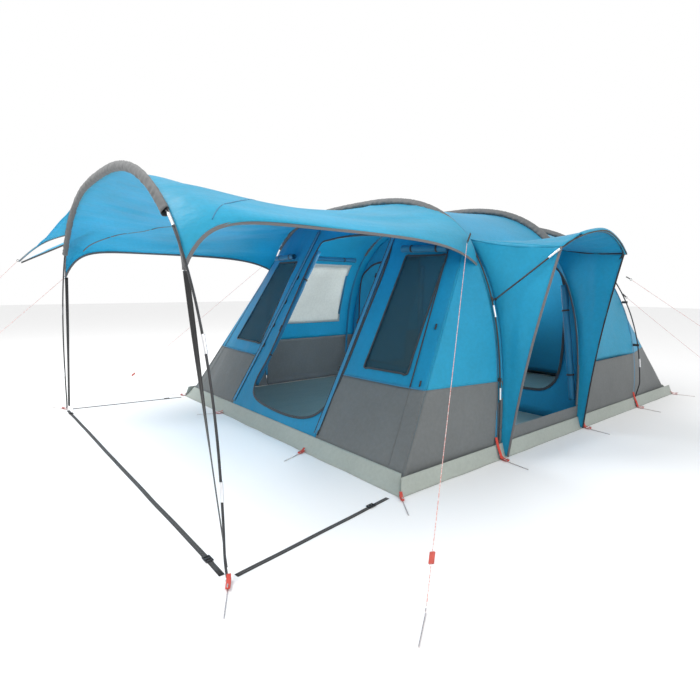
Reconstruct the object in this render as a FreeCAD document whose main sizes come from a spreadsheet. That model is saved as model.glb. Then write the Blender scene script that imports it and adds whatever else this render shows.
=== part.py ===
"""Tunnel tent with a porch canopy, a side awning, a divided bedroom, straps, pegs and guy lines.

Frame: +X is the side with the awning door, +Y runs from the canopy to the rear, +Z is up.
The origin is on the ground under the middle of the tent without its guy lines. Millimetres.
"""
import FreeCAD, Part
import math
import os

Vector = FreeCAD.Vector
UP = Vector(0, 0, 1)

doc = FreeCAD.newDocument("TunnelTent")

# ---------------------------------------------------------------- driving dimensions
sheet = doc.addObject("Spreadsheet::Sheet", "Dimensions")
DIMENSIONS = {
    "canopy_y": -2585.0,        # plane of the canopy hoop
    "front_y": -1475.0,         # foot of the sloping front wall
    "hoop_one_y": -545.0,
    "hoop_two_y": 655.0,
    "hoop_three_y": 1765.0,
    "rear_y": 2725.0,           # foot of the sloping rear wall
    "base_half": 1550.0,        # half width of the floor
    "canopy_foot": 1702.0,
    "canopy_belly": 1683.0,
    "canopy_height": 1841.0,
    "one_belly": 1575.0,
    "one_height": 1868.0,
    "two_belly": 1577.0,
    "two_height": 1915.0,
    "three_belly": 1612.0,
    "three_height": 1855.0,
    "rear_skin_belly": 1562.0,  # the flysheet hangs inside the third hoop
    "shoulder_x": 1250.0,       # where the front wall's side seams meet the first hoop
    "rear_shoulder_x": 1150.0,
    "pole_radius": 5.5,
    "ferrule_radius": 7.5,
    "ferrule_length": 80.0,
    "cloth": 4.0,               # thickness that stands for every sheet of cloth
    "skin_gap": 16.0,           # from a pole's centre line to the cloth outside face
    "sleeve_width": 62.0,
    "sleeve_depth": 25.0,
    "seam_height": 530.0,       # between the grey lower band and the blue cloth
    "flap_height": 100.0,
    "floor_thick": 3.0,
    "webbing_width": 25.0,
    "webbing_thick": 2.0,
    "peg_radius": 2.5,
    "peg_length": 175.0,
    "guy_radius": 1.75,
    "pivot_x": 1494.0,          # pivot line of the awning pole
    "pivot_z": 1080.0,
    "edge_half": 1350.0,        # half width of the canopy at its free edges
    "tail_height": 1215.0,      # height of the canopy's corner tails
    "runner_length": 46.0,
    "runner_width": 22.0,
    "runner_thick": 8.0,
}
for row, (alias, value) in enumerate(DIMENSIONS.items(), start=1):
    sheet.set(f"A{row}", alias)
    sheet.set(f"B{row}", f"{value}")
    sheet.setAlias(f"B{row}", alias)
doc.recompute()


def dim(alias):
    return float(sheet.get(alias))


CLOTH = dim("cloth")
SKIN = dim("skin_gap")
POLE = dim("pole_radius")
CANOPY_Y = dim("canopy_y")
FRONT_Y = dim("front_y")
ONE_Y = dim("hoop_one_y")
TWO_Y = dim("hoop_two_y")
THREE_Y = dim("hoop_three_y")
REAR_Y = dim("rear_y")
BASE = dim("base_half")
SEAM = dim("seam_height")
FLAP = dim("flap_height")
FLOOR = dim("floor_thick")

nodes = []


# ---------------------------------------------------------------- hoop outlines
class Hoop:
    """One bent pole: nearly upright legs under a flattened arch, |x/belly|^side + Z^crown = 1."""

    def __init__(self, y, foot, belly, height, side, crown, knee=100.0, stance=100.0):
        self.y, self.foot, self.belly, self.height = y, foot, belly, height
        self.side, self.crown, self.knee = side, crown, knee
        self.stance = stance        # height over which the pole swings out from its foot

    def inset(self, gap):
        return Hoop(self.y, self.foot - gap, self.belly - gap, self.height - gap,
                    self.side, self.crown, self.knee)

    def at(self, y):
        return Hoop(y, self.foot, self.belly, self.height, self.side, self.crown, self.knee)

    def half_width(self, z):
        if z <= self.knee:
            return self.foot + (self.belly - self.foot) * math.sin(z / self.knee * math.pi / 2)
        rise = min(1.0, (z - self.knee) / (self.height - self.knee))
        return self.belly * (1.0 - rise ** self.crown) ** (1.0 / self.side)

    def top(self, x):
        spread = min(1.0, abs(x) / self.belly)
        return self.knee + (self.height - self.knee) * (1.0 - spread ** self.side) ** (1.0 / self.crown)

    def leg(self, z_low, z_high, steps, sign):
        """Points up one leg between two heights."""
        heights = [z_low + (z_high - z_low) * i / steps for i in range(steps + 1)]
        return [Vector(sign * self.half_width(z), self.y, z) for z in heights]

    def arch(self, near_z, far_z, steps):
        """Points from the near side at near_z, over the crown, to the far side at far_z."""
        def angle_of(z):
            return math.asin(max(0.0, (z - self.knee) / (self.height - self.knee)))

        points = []
        for i in range(2 * steps + 1):
            near = i <= steps
            low = angle_of(near_z if near else far_z)
            share = (i if near else 2 * steps - i) / steps
            rise = math.sin(low + (math.pi / 2 - low) * share)
            x = self.belly * max(0.0, 1.0 - rise ** self.crown) ** (1.0 / self.side)
            z = self.knee + (self.height - self.knee) * rise
            points.append(Vector(x if near else -x, self.y, z))
        return points


canopy = Hoop(CANOPY_Y, dim("canopy_foot"), dim("canopy_belly"), dim("canopy_height"), 2.65, 2.26)
one = Hoop(ONE_Y, BASE + 5, dim("one_belly"), dim("one_height"), 3.1, 2.86)
two = Hoop(TWO_Y, BASE + 5, dim("two_belly"), dim("two_height"), 2.9, 2.86)
three = Hoop(THREE_Y, BASE + 5, dim("three_belly"), dim("three_height"), 2.25, 2.24, stance=300.0)
one_skin = one.inset(SKIN)
two_skin = two.inset(SKIN)
three_skin = Hoop(THREE_Y, BASE - 12, dim("rear_skin_belly"), dim("three_height") - SKIN, 2.28, 2.26)


# ---------------------------------------------------------------- helpers
def keep(obj, label):
    obj.Label = label
    nodes.append(obj)
    return obj


def feature(label, shape):
    obj = doc.addObject("Part::Feature", label)
    obj.Shape = shape
    obj.Placement = FreeCAD.Placement()
    return keep(obj, label)


def group(label, members):
    obj = doc.addObject("Part::Compound", label)
    obj.Links = members
    return keep(obj, label)


def bind(obj, **expressions):
    for name, text in expressions.items():
        obj.setExpression(name, text)
    return obj


def turned(direction, start=UP):
    return FreeCAD.Rotation(start, direction)


def rod_piece(name, centre, direction, radius, length):
    """A cylinder centred on a point, its radius and length bound to the sheet."""
    obj = doc.addObject("Part::Cylinder", name)
    bind(obj, Radius=radius, Height=length)
    turn = turned(direction)
    half = obj.evalExpression(length)
    half = getattr(half, "Value", half) / 2.0
    obj.Placement = FreeCAD.Placement(centre - turn.multVec(UP) * half, turn)
    return obj


def rounded_path(points, share=0.45):
    """Straight runs joined by tangent arcs, each arc as large as its two runs allow."""
    edges = []
    start = points[0]
    for before, corner, after in zip(points, points[1:], points[2:]):
        back = before - corner
        ahead = after - corner
        reach = share * min(back.Length, ahead.Length)
        back.normalize()
        ahead.normalize()
        first = corner + back * reach
        last = corner + ahead * reach
        half_open = back.getAngle(ahead) / 2.0
        bisector = (back + ahead).normalize()
        radius = reach * math.tan(half_open)
        middle = corner + bisector * (reach / math.cos(half_open) - radius)
        edges.append(Part.makeLine(start, first))
        edges.append(Part.Arc(first, middle, last).toShape())
        start = last
    edges.append(Part.makeLine(start, points[-1]))
    return Part.Wire(edges)


def tube(label, points, radius, share=0.45):
    """A round rod swept along the rounded path of a point list, its radius bound to the sheet."""
    path = doc.addObject("Part::Feature", label + "_path")
    path.Shape = rounded_path(points, share)
    ring = doc.addObject("Part::Circle", label + "_section")
    bind(ring, Radius=radius)
    ring.Placement = FreeCAD.Placement(points[0], turned(points[1] - points[0]))
    sweep = doc.addObject("Part::Sweep", label + "_sweep")
    sweep.Sections = [ring]
    sweep.Spine = (path, [f"Edge{i + 1}" for i in range(len(path.Shape.Edges))])
    sweep.Solid = True
    sweep.Frenet = False
    return sweep


def spline(points):
    curve = Part.BSplineCurve()
    curve.interpolate(points)
    return curve.toShape()


def cloth_loft(sections):
    """A closed sheet: each section gives the points of its outside curve and of its inside curve."""
    outside = [spline(outer) for outer, _ in sections]
    inside = [spline(inner) for _, inner in sections]
    faces = []
    for curves in (outside, inside):
        faces += [Part.makeRuledSurface(a, b) for a, b in zip(curves, curves[1:])]
    for end in (0, -1):
        faces.append(Part.makeRuledSurface(outside[end], inside[end]))
        rims = [(outer[end], inner[end]) for outer, inner in sections]
        for (a, b), (c, d) in zip(rims, rims[1:]):
            faces.append(Part.makeRuledSurface(Part.makeLine(a, c), Part.makeLine(b, d)))
    skin = Part.Compound(faces)
    skin.sewShape(0.01)
    solid = Part.Solid(skin.Shells[0] if skin.ShapeType == "Compound" else skin)
    if solid.Volume < 0:
        solid.reverse()
    return solid


def prism(points, direction):
    return Part.Face(Part.makePolygon(points + [points[0]])).extrude(direction)


def lerp(a, b, share):
    return a + (b - a) * share


def triangle(corners, thickness):
    """A flat three-cornered sheet, thickened along its own normal."""
    normal = (corners[1] - corners[0]).cross(corners[2] - corners[0]).normalize()
    return prism(corners, normal * thickness)


# ---------------------------------------------------------------- frame: hoops and ferrules
def hoop_line(hoop, clear):
    """Centre line of a hoop from its near foot pin to its far foot pin."""
    swing = hoop.half_width(hoop.stance) - hoop.foot
    near_leg = []
    for z in (clear, 60.0, 115.0, 170.0):
        share = max(0.0, min(1.0, (z - clear) / (hoop.stance - clear)))
        near_leg.append(Vector(hoop.foot + swing * math.sin(share * math.pi / 2), hoop.y, z))
    far_leg = [Vector(-p.x, p.y, p.z) for p in reversed(near_leg)]
    return near_leg + hoop.arch(240.0, 240.0, 11) + far_leg


FOOT_CLEAR = 14.0
CUP = 3.6
PIN_SHORT = 4.5
POLES = {"canopy_pole": canopy, "hoop_one_pole": one, "hoop_two_pole": two, "hoop_three_pole": three}
for label, hoop in POLES.items():
    keep(tube(label, hoop_line(hoop, FOOT_CLEAR), "Dimensions.pole_radius"), label)


def ferrules(label, places):
    """Silver joining tubes, pressed on the pole where its sections meet."""
    members = []
    for number, (hoop, z, sign) in enumerate(places):
        low = Vector(sign * hoop.half_width(z - 20), hoop.y, z - 20)
        high = Vector(sign * hoop.half_width(z + 20), hoop.y, z + 20)
        members.append(rod_piece(f"{label}_{number}", (low + high) / 2, high - low,
                                 "Dimensions.ferrule_radius", "Dimensions.ferrule_length"))
    return group(label, members)


SIDES = (1, -1)
ferrules("canopy_ferrules", [(canopy, z, sign) for z in (360.0, 930.0, 1440.0) for sign in SIDES])
ferrules("hoop_ferrules",
         [(one, z, sign) for z in (450.0, 1000.0, 1500.0) for sign in SIDES]
         + [(two, z, sign) for z in (450.0, 1000.0) for sign in SIDES]
         + [(three, z, sign) for z in (440.0, 1380.0) for sign in SIDES])


def foot_pins():
    """Steel pin and ring under each hoop end, set in the eyelet of its strap."""
    members = []
    for hoop in (canopy, one, two, three):
        for sign in SIDES:
            spot = Vector(sign * hoop.foot, hoop.y, 0)
            pin = doc.addObject("Part::Cylinder", "foot_pin")
            bind(pin, Radius="Dimensions.pole_radius * 0.55")
            pin.Height = FOOT_CLEAR - PIN_SHORT
            pin.Placement.Base = spot + Vector(0, 0, CUP - 0.6)
            cup = doc.addObject("Part::Cylinder", "foot_cup")
            bind(cup, Radius="Dimensions.ferrule_radius")
            cup.Height = CUP
            cup.Placement.Base = spot
            joined = doc.addObject("Part::Fuse", "foot_joint")
            joined.Base, joined.Tool = pin, cup
            members.append(joined)
    return group("foot_pins", members)


foot_pins()


# ---------------------------------------------------------------- frame: sleeves
SLEEVE_WALL = 2.0


def sleeve_shape(hoop, near_z, far_z, width):
    """A flat hollow sleeve over a pole: a thin rectangular tube swept along the arch."""
    line = rounded_path(hoop.arch(near_z, far_z, 9))
    start = line.Edges[0].Vertexes[0].Point
    along = (line.Edges[0].Vertexes[1].Point - start).normalize()
    across = Vector(0, 1, 0)
    deep = along.cross(across).normalize()

    def swept(wall):
        half_w, half_d = width / 2.0 - wall, dim("sleeve_depth") / 2.0 - wall
        corners = [start + across * (a * half_w) + deep * (b * half_d)
                   for a, b in ((-1, -1), (1, -1), (1, 1), (-1, 1))]
        return line.makePipeShell([Part.makePolygon(corners + [corners[0]])], True, False)

    return swept(0.0).cut(swept(SLEEVE_WALL))


feature("canopy_sleeve", sleeve_shape(canopy, 1490.0, 1340.0, 1.35 * dim("sleeve_width")))
feature("hoop_sleeves", Part.makeCompound([
    sleeve_shape(one, 1560.0, 1560.0, dim("sleeve_width")),
    sleeve_shape(two, 1560.0, 1560.0, dim("sleeve_width")),
    sleeve_shape(three, 1440.0, 1440.0, dim("sleeve_width")),
]))


# ---------------------------------------------------------------- flysheet: tunnel bays
SLEEVE_HALF = dim("sleeve_width") / 2.0


def bay(start_hoop, start_y, end_hoop, end_y, near_z, far_z, waist=14.0):
    """A bay of roof cloth between two hoops, a little slack halfway."""
    sections = []
    for share in (0.0, 0.5, 1.0):
        hoop = Hoop(lerp(start_y, end_y, share),
                    lerp(start_hoop.foot, end_hoop.foot, share),
                    lerp(start_hoop.belly, end_hoop.belly, share),
                    lerp(start_hoop.height, end_hoop.height, share),
                    lerp(start_hoop.side, end_hoop.side, share),
                    lerp(start_hoop.crown, end_hoop.crown, share))
        hoop = hoop.inset(waist * math.sin(math.pi * share))
        sections.append((hoop.arch(near_z, far_z, 8), hoop.inset(CLOTH).arch(near_z, far_z, 8)))
    return cloth_loft(sections)


DOOR_LOW = 190.0
DOOR_TOP = 1420.0
DOOR_FRONT = ONE_Y + 75.0
DOOR_BACK = TWO_Y - 75.0


def arched_cutter(y_low, y_high, z_low, z_high, x_start, reach, corner):
    """A tall opening with rounded top corners, as a solid that runs along X."""
    points = [
        Vector(x_start, y_low, z_low),
        Vector(x_start, y_low, z_high - corner),
    ]
    outline = [Part.makeLine(points[0], points[1])]
    left_arc = Part.Arc(points[1], Vector(x_start, y_low + 0.293 * corner, z_high - 0.293 * corner),
                        Vector(x_start, y_low + corner, z_high))
    right_arc = Part.Arc(Vector(x_start, y_high - corner, z_high),
                         Vector(x_start, y_high - 0.293 * corner, z_high - 0.293 * corner),
                         Vector(x_start, y_high, z_high - corner))
    outline.append(left_arc.toShape())
    outline.append(Part.makeLine(left_arc.EndPoint, right_arc.StartPoint))
    outline.append(right_arc.toShape())
    outline.append(Part.makeLine(right_arc.EndPoint, Vector(x_start, y_high, z_low)))
    outline.append(Part.makeLine(Vector(x_start, y_high, z_low), points[0]))
    return Part.Face(Part.Wire(outline)).extrude(Vector(reach, 0, 0))


WINDOW_FRONT = ONE_Y + 230.0
WINDOW_BACK = TWO_Y - 170.0
WINDOW_LOW = 730.0
WINDOW_TOP = 1400.0

living = bay(one_skin, ONE_Y + 4, two_skin, TWO_Y - 2, DOOR_LOW + 4, SEAM + 4)
living = living.cut(arched_cutter(DOOR_FRONT, DOOR_BACK, 0.0, DOOR_TOP, 900.0, 900.0, 260.0))
living = living.cut(arched_cutter(WINDOW_FRONT, WINDOW_BACK, WINDOW_LOW, WINDOW_TOP, -1800.0, 700.0, 30.0))
feature("living_roof", living)
feature("bedroom_roof", bay(two_skin, TWO_Y + 2, three_skin, THREE_Y - 2, SEAM + 4, SEAM + 4))


def side_band(start_hoop, start_y, end_hoop, end_y, low, high, sign):
    """The grey lower part of a side wall between two hoops."""
    sections = []
    for hoop, y in ((start_hoop, start_y), (end_hoop, end_y)):
        sections.append((hoop.at(y).leg(low, high, 4, sign),
                         hoop.inset(CLOTH).at(y).leg(low, high, 4, sign)))
    return cloth_loft(sections)


BAND_LOW = FLOOR + 3.0


# ---------------------------------------------------------------- flysheet: sloping end walls
class EndWall:
    """A wall of straight lines from a foot line on the ground up to a hoop."""

    def __init__(self, foot_y, hoop, shoulder, base=BASE):
        self.foot_y, self.hoop, self.shoulder, self.base = foot_y, hoop, shoulder, base
        self.inward = 1.0 if hoop.y > foot_y else -1.0

    def point(self, s, z, depth=0.0):
        """s runs from -1 to 1 across the wall, z is the height, depth goes into the tent."""
        top_z = self.hoop.top(self.shoulder * s)
        share = z / top_z
        x = lerp(self.base * s, self.shoulder * s, share)
        y = lerp(self.foot_y, self.hoop.y, share)
        slope = math.atan2(top_z, abs(self.hoop.y - self.foot_y))
        return Vector(x, y + self.inward * depth * math.sin(slope), z - depth * math.cos(slope))

    def top(self, s):
        return self.hoop.top(self.shoulder * s)

    def patch(self, left, right, low, high, steps=6):
        """Cloth between the lines left and right, from low to high; each is a function of height
        share (left, right) or of s (low, high)."""
        sections = []
        for share in (0.0, 0.34, 0.67, 1.0):
            across = [lerp(left(share), right(share), i / steps) for i in range(steps + 1)]
            outer = [self.point(s, lerp(low(s), high(s), share)) for s in across]
            inner = [self.point(s, lerp(low(s), high(s), share), CLOTH) for s in across]
            sections.append((outer, inner))
        return cloth_loft(sections)

    def cutter(self, outline):
        """A prism along Y through an outline given as (s, z) corners."""
        points = [self.point(s, z) for s, z in outline]
        flat = [Vector(p.x, self.foot_y - 400 * self.inward, p.z) for p in points]
        return prism(flat, Vector(0, self.inward * 1900.0, 0))


front = EndWall(FRONT_Y, one_skin.at(ONE_Y - 3), dim("shoulder_x"))
rear = EndWall(REAR_Y, three_skin.at(THREE_Y + 3), dim("rear_shoulder_x"))
GAP_S = 0.003


def door_left(share):
    return lerp(-0.42, -0.26, share)


def door_right(share):
    return lerp(0.43, 0.54, share)


def front_top(s):
    return front.top(s) - 14.0


def rear_top(s):
    return rear.top(s) - 14.0


def constant(value):
    return lambda _: value


def door_share(s_line, z):
    """The door panel's side line at a height, used where a side panel meets it."""
    return s_line((z - BAND_LOW) / (front.top(0.0) - BAND_LOW))


FRONT_DOOR = [(-0.215, 1440.0), (-0.235, 600.0), (-0.262, 330.0), (-0.2, 205.0), (0.02, 165.0),
              (0.26, 175.0), (0.4, 250.0), (0.468, 420.0), (0.5, 800.0), (0.53, 1440.0),
              (0.4, 1560.0), (-0.08, 1570.0)]
NEAR_WINDOW = [(0.61, 604.0), (0.88, 604.0), (0.915, 1378.0), (0.66, 1381.0)]
FAR_WINDOW = [(-0.77, 633.0), (-0.409, 632.0), (-0.401, 1385.0), (-0.705, 1388.0)]

door_panel = front.patch(door_left, door_right, constant(BAND_LOW), front_top, 10)
feature("front_door_panel", door_panel.cut(front.cutter(FRONT_DOOR)))


def upper_left(share):
    return door_share(door_left, lerp(SEAM, front.top(-0.3), share)) - GAP_S


def upper_right(share):
    return door_share(door_right, lerp(SEAM, front.top(0.5), share)) + GAP_S


near_panel = front.patch(upper_right, constant(0.997), constant(SEAM + 4), front_top)
feature("front_near_panel", near_panel.cut(front.cutter(NEAR_WINDOW)))
far_panel = front.patch(constant(-0.997), upper_left, constant(SEAM + 4), front_top)
feature("front_far_panel", far_panel.cut(front.cutter(FAR_WINDOW)))


def band_left(share):
    return door_share(door_left, lerp(BAND_LOW, SEAM, share)) - GAP_S


def band_right(share):
    return door_share(door_right, lerp(BAND_LOW, SEAM, share)) + GAP_S


feature("front_bands", Part.makeCompound([
    front.patch(band_right, constant(0.997), constant(BAND_LOW), constant(SEAM)),
    front.patch(constant(-0.997), band_left, constant(BAND_LOW), constant(SEAM)),
]))
feature("rear_wall", rear.patch(constant(-0.997), constant(0.997), constant(SEAM + 4), rear_top, 10))
feature("rear_band", rear.patch(constant(-0.997), constant(0.997), constant(BAND_LOW), constant(SEAM), 10))


def corner_side(wall, sign, low, high):
    """The three-cornered side wall between an end wall's edge and its hoop's leg."""
    sections = []
    for share in (0.0, 0.34, 0.67, 1.0):
        z = lerp(low, high, share)
        edge = wall.point(sign, z)
        leg = Vector(sign * wall.hoop.half_width(z), wall.hoop.y, z)
        span = [lerp(edge, leg, i / 3.0) for i in range(4)]
        outer = [p + Vector(0, wall.inward * 3.0 * (1 - i / 3.0), 0) for i, p in enumerate(span)]
        inner = [p - Vector(sign * CLOTH, 0, 0) for p in outer]
        sections.append((outer, inner))
    return cloth_loft(sections)


FRONT_SIDE_TOP = front.top(1.0) - 30.0
REAR_SIDE_TOP = rear.top(1.0) - 30.0
feature("porch_sides", Part.makeCompound(
    [corner_side(front, sign, SEAM + 4, FRONT_SIDE_TOP) for sign in SIDES]))
feature("rear_sides", Part.makeCompound(
    [corner_side(rear, sign, SEAM + 4, REAR_SIDE_TOP) for sign in SIDES]))


def side_bands(sign):
    living_top = SEAM if sign < 0 else DOOR_LOW
    return Part.makeCompound([
        corner_side(front, sign, BAND_LOW, SEAM),
        side_band(one_skin, ONE_Y + 4, two_skin, TWO_Y - 2, BAND_LOW, living_top, sign),
        side_band(two_skin, TWO_Y + 2, three_skin, THREE_Y - 2, BAND_LOW, SEAM, sign),
        corner_side(rear, sign, BAND_LOW, SEAM),
    ])


feature("near_bands", side_bands(1))
feature("far_bands", side_bands(-1))


# ---------------------------------------------------------------- floor and mud flaps
floor = doc.addObject("Part::Box", "groundsheet_box")
bind(floor, Length="Dimensions.base_half * 2 - 40", Width="Dimensions.rear_y - Dimensions.front_y - 40",
     Height="Dimensions.floor_thick")
floor.Placement.Base = Vector(-BASE + 20, FRONT_Y + 20, 0)
keep(floor, "groundsheet")


def mud_flap(start, end, outward, lean):
    """A strip that leans against the foot of a wall and spreads a little on the ground."""
    top = outward * (7.0 - lean * FLAP)
    foot = outward * 34.0
    rise = Vector(0, 0, FLAP)
    inner_foot = outward * 29.0
    section = [start + foot, start + top + rise, start + top - outward * 3.0 + rise, start + inner_foot]
    return prism(section, end - start)


FRONT_LEAN = (ONE_Y - FRONT_Y) / dim("one_height")
REAR_LEAN = (REAR_Y - THREE_Y) / dim("three_height")
SIDE_OUT = 20.0
SIDE_LEAN = 0.05
SLIT = 16.0
WING_SLIT = 62.0        # the awning's side cloths reach the ground through the flap
SIDE_RUNS = [(FRONT_Y + 8, ONE_Y - SLIT), (ONE_Y + WING_SLIT, TWO_Y - WING_SLIT),
             (TWO_Y + SLIT, THREE_Y - SLIT), (THREE_Y + SLIT, REAR_Y - 8)]


def side_flaps(sign):
    x = sign * (BASE + SIDE_OUT)
    return [mud_flap(Vector(x, low, 0), Vector(x, high, 0), Vector(sign, 0, 0), SIDE_LEAN)
            for low, high in SIDE_RUNS]


feature("mud_flaps", Part.makeCompound([
    mud_flap(Vector(-BASE, FRONT_Y, 0), Vector(BASE, FRONT_Y, 0), Vector(0, -1, 0), FRONT_LEAN),
    mud_flap(Vector(-BASE, REAR_Y, 0), Vector(BASE, REAR_Y, 0), Vector(0, 1, 0), REAR_LEAN),
] + side_flaps(1) + side_flaps(-1)))


# ---------------------------------------------------------------- canopy
CANOPY_FRONT = CANOPY_Y + 46.0
CANOPY_BACK = ONE_Y - SLEEVE_HALF - 4.0


def canopy_point(across, along, depth=0.0):
    """A point of the canopy: across runs from -1 to 1, along from 0 at its hoop to 1 at the tent."""
    y = lerp(CANOPY_FRONT, CANOPY_BACK, along)
    from_front = y - CANOPY_FRONT
    from_back = CANOPY_BACK - y
    edge = 1455.0 - 240.0 * math.exp(-from_front / 95.0) - 160.0 * math.exp(-from_back / 240.0)
    sag = 4.0 * along * (1.0 - along)
    crown = lerp(dim("canopy_height") - 22.0, dim("one_height") - 24.0, along) - 150.0 * sag
    power = lerp(2.3, 3.0, along)
    fall = lerp(0.573, 0.52, along) + 0.3 * sag
    half = dim("edge_half")
    rise = max(0.0, 1.0 - abs(across) ** power) ** fall
    return Vector(half * across * (1.0 - depth / half), y, edge + (crown - edge) * rise - depth)


def canopy_section(along, depth):
    steps = [-1.0, -0.985, -0.94, -0.86, -0.74, -0.56, -0.32, 0.0, 0.32, 0.56, 0.74, 0.86, 0.94, 0.985, 1.0]
    return [canopy_point(s, along, depth) for s in steps]


feature("canopy_roof", cloth_loft(
    [(canopy_section(a, 0.0), canopy_section(a, CLOTH))
     for a in (0.0, 0.035, 0.09, 0.2, 0.36, 0.55, 0.74, 0.87, 0.95, 1.0)]))

WING_TIP = Vector(-1915.0, -2842.0, 1370.0)


def fan(corner, edge, push):
    """A closed sheet of flat gores from one corner to each span of an edge, thickened along push."""
    def face(*points):
        return Part.Face(Part.makePolygon(list(points) + [points[0]]))

    faces = [face(corner, p, p + push, corner + push) for p in (edge[0], edge[-1])]
    for a, b in zip(edge, edge[1:]):
        faces += [face(corner, a, b), face(corner + push, a + push, b + push),
                  face(a, b, b + push, a + push)]
    solid = Part.Solid(Part.Shell(faces))
    if solid.Volume < 0:
        solid.reverse()
    return solid


def canopy_wing():
    """The guyed ear on the far side: cloth from the hoop's far shoulder out to one tip."""
    crest = canopy.inset(-18.0)
    spread = (860.0, 905.0, 950.0, 995.0, 1040.0, 1080.0, 1120.0)
    shoulder = [Vector(-x, CANOPY_Y - 10.0, crest.top(x)) for x in spread]
    front_ear = fan(WING_TIP, shoulder, Vector(0, CLOTH, 0))
    gusset = triangle([WING_TIP + Vector(12, 14, -10), Vector(-1212.0, CANOPY_Y + 36.0, 1510.0),
                       Vector(-1118.0, CANOPY_Y + 200.0, 1624.0)], CLOTH)
    return Part.makeCompound([front_ear, gusset])


feature("canopy_wing", canopy_wing())


# ---------------------------------------------------------------- webbing straps
def strap(name, start, end, face):
    """A straight length of webbing whose width lies across the direction face."""
    obj = doc.addObject("Part::Box", name)
    along = end - start
    bind(obj, Width="Dimensions.webbing_width", Height="Dimensions.webbing_thick")
    obj.Length = along.Length
    x_axis = along.normalize()
    z_axis = (face - x_axis * face.dot(x_axis)).normalize()
    y_axis = z_axis.cross(x_axis)
    turn = FreeCAD.Rotation(x_axis, y_axis, z_axis, "XYZ")
    obj.Placement = FreeCAD.Placement(start - y_axis * (dim("webbing_width") / 2), turn)
    return obj


TAIL = dim("edge_half")
FOOT_X = dim("canopy_foot")
group("canopy_ties", [
    strap("canopy_tie", Vector(sign * (TAIL + 2), CANOPY_Y + 44.0, dim("tail_height") - 8),
          Vector(sign * (FOOT_X - 30), CANOPY_Y + 14.0, 40.0), Vector(0, 1, 0))
    for sign in SIDES])
group("ground_straps", [
    strap("front_strap", Vector(-FOOT_X + 45, CANOPY_Y, 0), Vector(FOOT_X - 45, CANOPY_Y, 0), UP),
    strap("near_strap", Vector(FOOT_X - 6, CANOPY_Y + 45, 0), Vector(BASE + 4, FRONT_Y - 90, 0), UP),
    strap("far_strap", Vector(-FOOT_X + 6, CANOPY_Y + 45, 0), Vector(-BASE - 4, FRONT_Y - 90, 0), UP),
])


def ladder_buckle(name, centre, along):
    """A three-bar plastic buckle lying flat: a plate with two slots."""
    body = doc.addObject("PartDesign::Body", name)
    plane = [f for f in body.Origin.OriginFeatures if f.Role == "XY_Plane"][0]
    outline = body.newObject("Sketcher::SketchObject", name + "_outline")
    outline.AttachmentSupport = [(plane, "")]
    outline.MapMode = "FlatFace"
    rectangles = [(-24.0, -17.0, 24.0, 17.0), (-17.0, -13.0, -5.0, 13.0), (5.0, -13.0, 17.0, 13.0)]
    for left, low, right, high in rectangles:
        ring = [Vector(left, low, 0), Vector(right, low, 0), Vector(right, high, 0), Vector(left, high, 0)]
        for a, b in zip(ring, ring[1:] + ring[:1]):
            outline.addGeometry(Part.LineSegment(a, b), False)
    pad = body.newObject("PartDesign::Pad", name + "_pad")
    pad.Profile = outline
    pad.setExpression("Length", "Dimensions.webbing_thick * 2")
    body.Placement = FreeCAD.Placement(centre, FreeCAD.Rotation(Vector(1, 0, 0), along))
    return body


BUCKLE_Z = 3.0
group("strap_buckles", [
    ladder_buckle("buckle_front", Vector(FOOT_X - 190, CANOPY_Y, BUCKLE_Z), Vector(1, 0, 0)),
    ladder_buckle("buckle_front_far", Vector(-FOOT_X + 190, CANOPY_Y, BUCKLE_Z), Vector(1, 0, 0)),
    ladder_buckle("buckle_near", Vector(BASE + 24, FRONT_Y - 230, BUCKLE_Z), Vector(0.14, -1, 0)),
    ladder_buckle("buckle_far", Vector(-BASE - 24, FRONT_Y - 230, BUCKLE_Z), Vector(-0.14, -1, 0)),
])


# ---------------------------------------------------------------- pegs and their loops
def peg(name, hook, outward):
    """A bent steel wire peg lying on the ground with its hook over a loop."""
    side = dim("peg_radius") + 0.4
    tall = 20.0
    base = Vector(hook.x, hook.y, side)
    path = doc.addObject("Part::Feature", name + "_path")
    path.Shape = rounded_path([
        base + outward * dim("peg_length"), base, base + UP * tall, base + UP * tall + outward * 24.0])
    ring = doc.addObject("Part::Circle", name + "_section")
    bind(ring, Radius="Dimensions.peg_radius")
    ring.Placement = FreeCAD.Placement(base + outward * dim("peg_length"), turned(outward * -1))
    sweep = doc.addObject("Part::Sweep", name)
    sweep.Sections = [ring]
    sweep.Spine = (path, [f"Edge{i + 1}" for i in range(len(path.Shape.Edges))])
    sweep.Solid = True
    sweep.Frenet = False
    return sweep


def loop(name, start, outward):
    """A webbing loop at the foot of a wall: a strip with a slot for the peg."""
    obj = doc.addObject("Part::Box", name + "_web")
    obj.Length, obj.Width, obj.Height = 62.0, 20.0, 2.0
    slot = doc.addObject("Part::Box", name + "_slot")
    slot.Length, slot.Width, slot.Height = 24.0, 11.0, 6.0
    turn = FreeCAD.Rotation(Vector(1, 0, 0), outward)
    side = turn.multVec(Vector(0, 1, 0))
    obj.Placement = FreeCAD.Placement(start - side * 10.0 + UP * 6.2, turn)
    slot.Placement = FreeCAD.Placement(start + outward * 28.0 - side * 5.5 + UP * 4.0, turn)
    cut = doc.addObject("Part::Cut", name)
    cut.Base, cut.Tool = obj, slot
    return cut


def heading(degrees):
    return Vector(math.cos(math.radians(degrees)), math.sin(math.radians(degrees)), 0)


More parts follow.
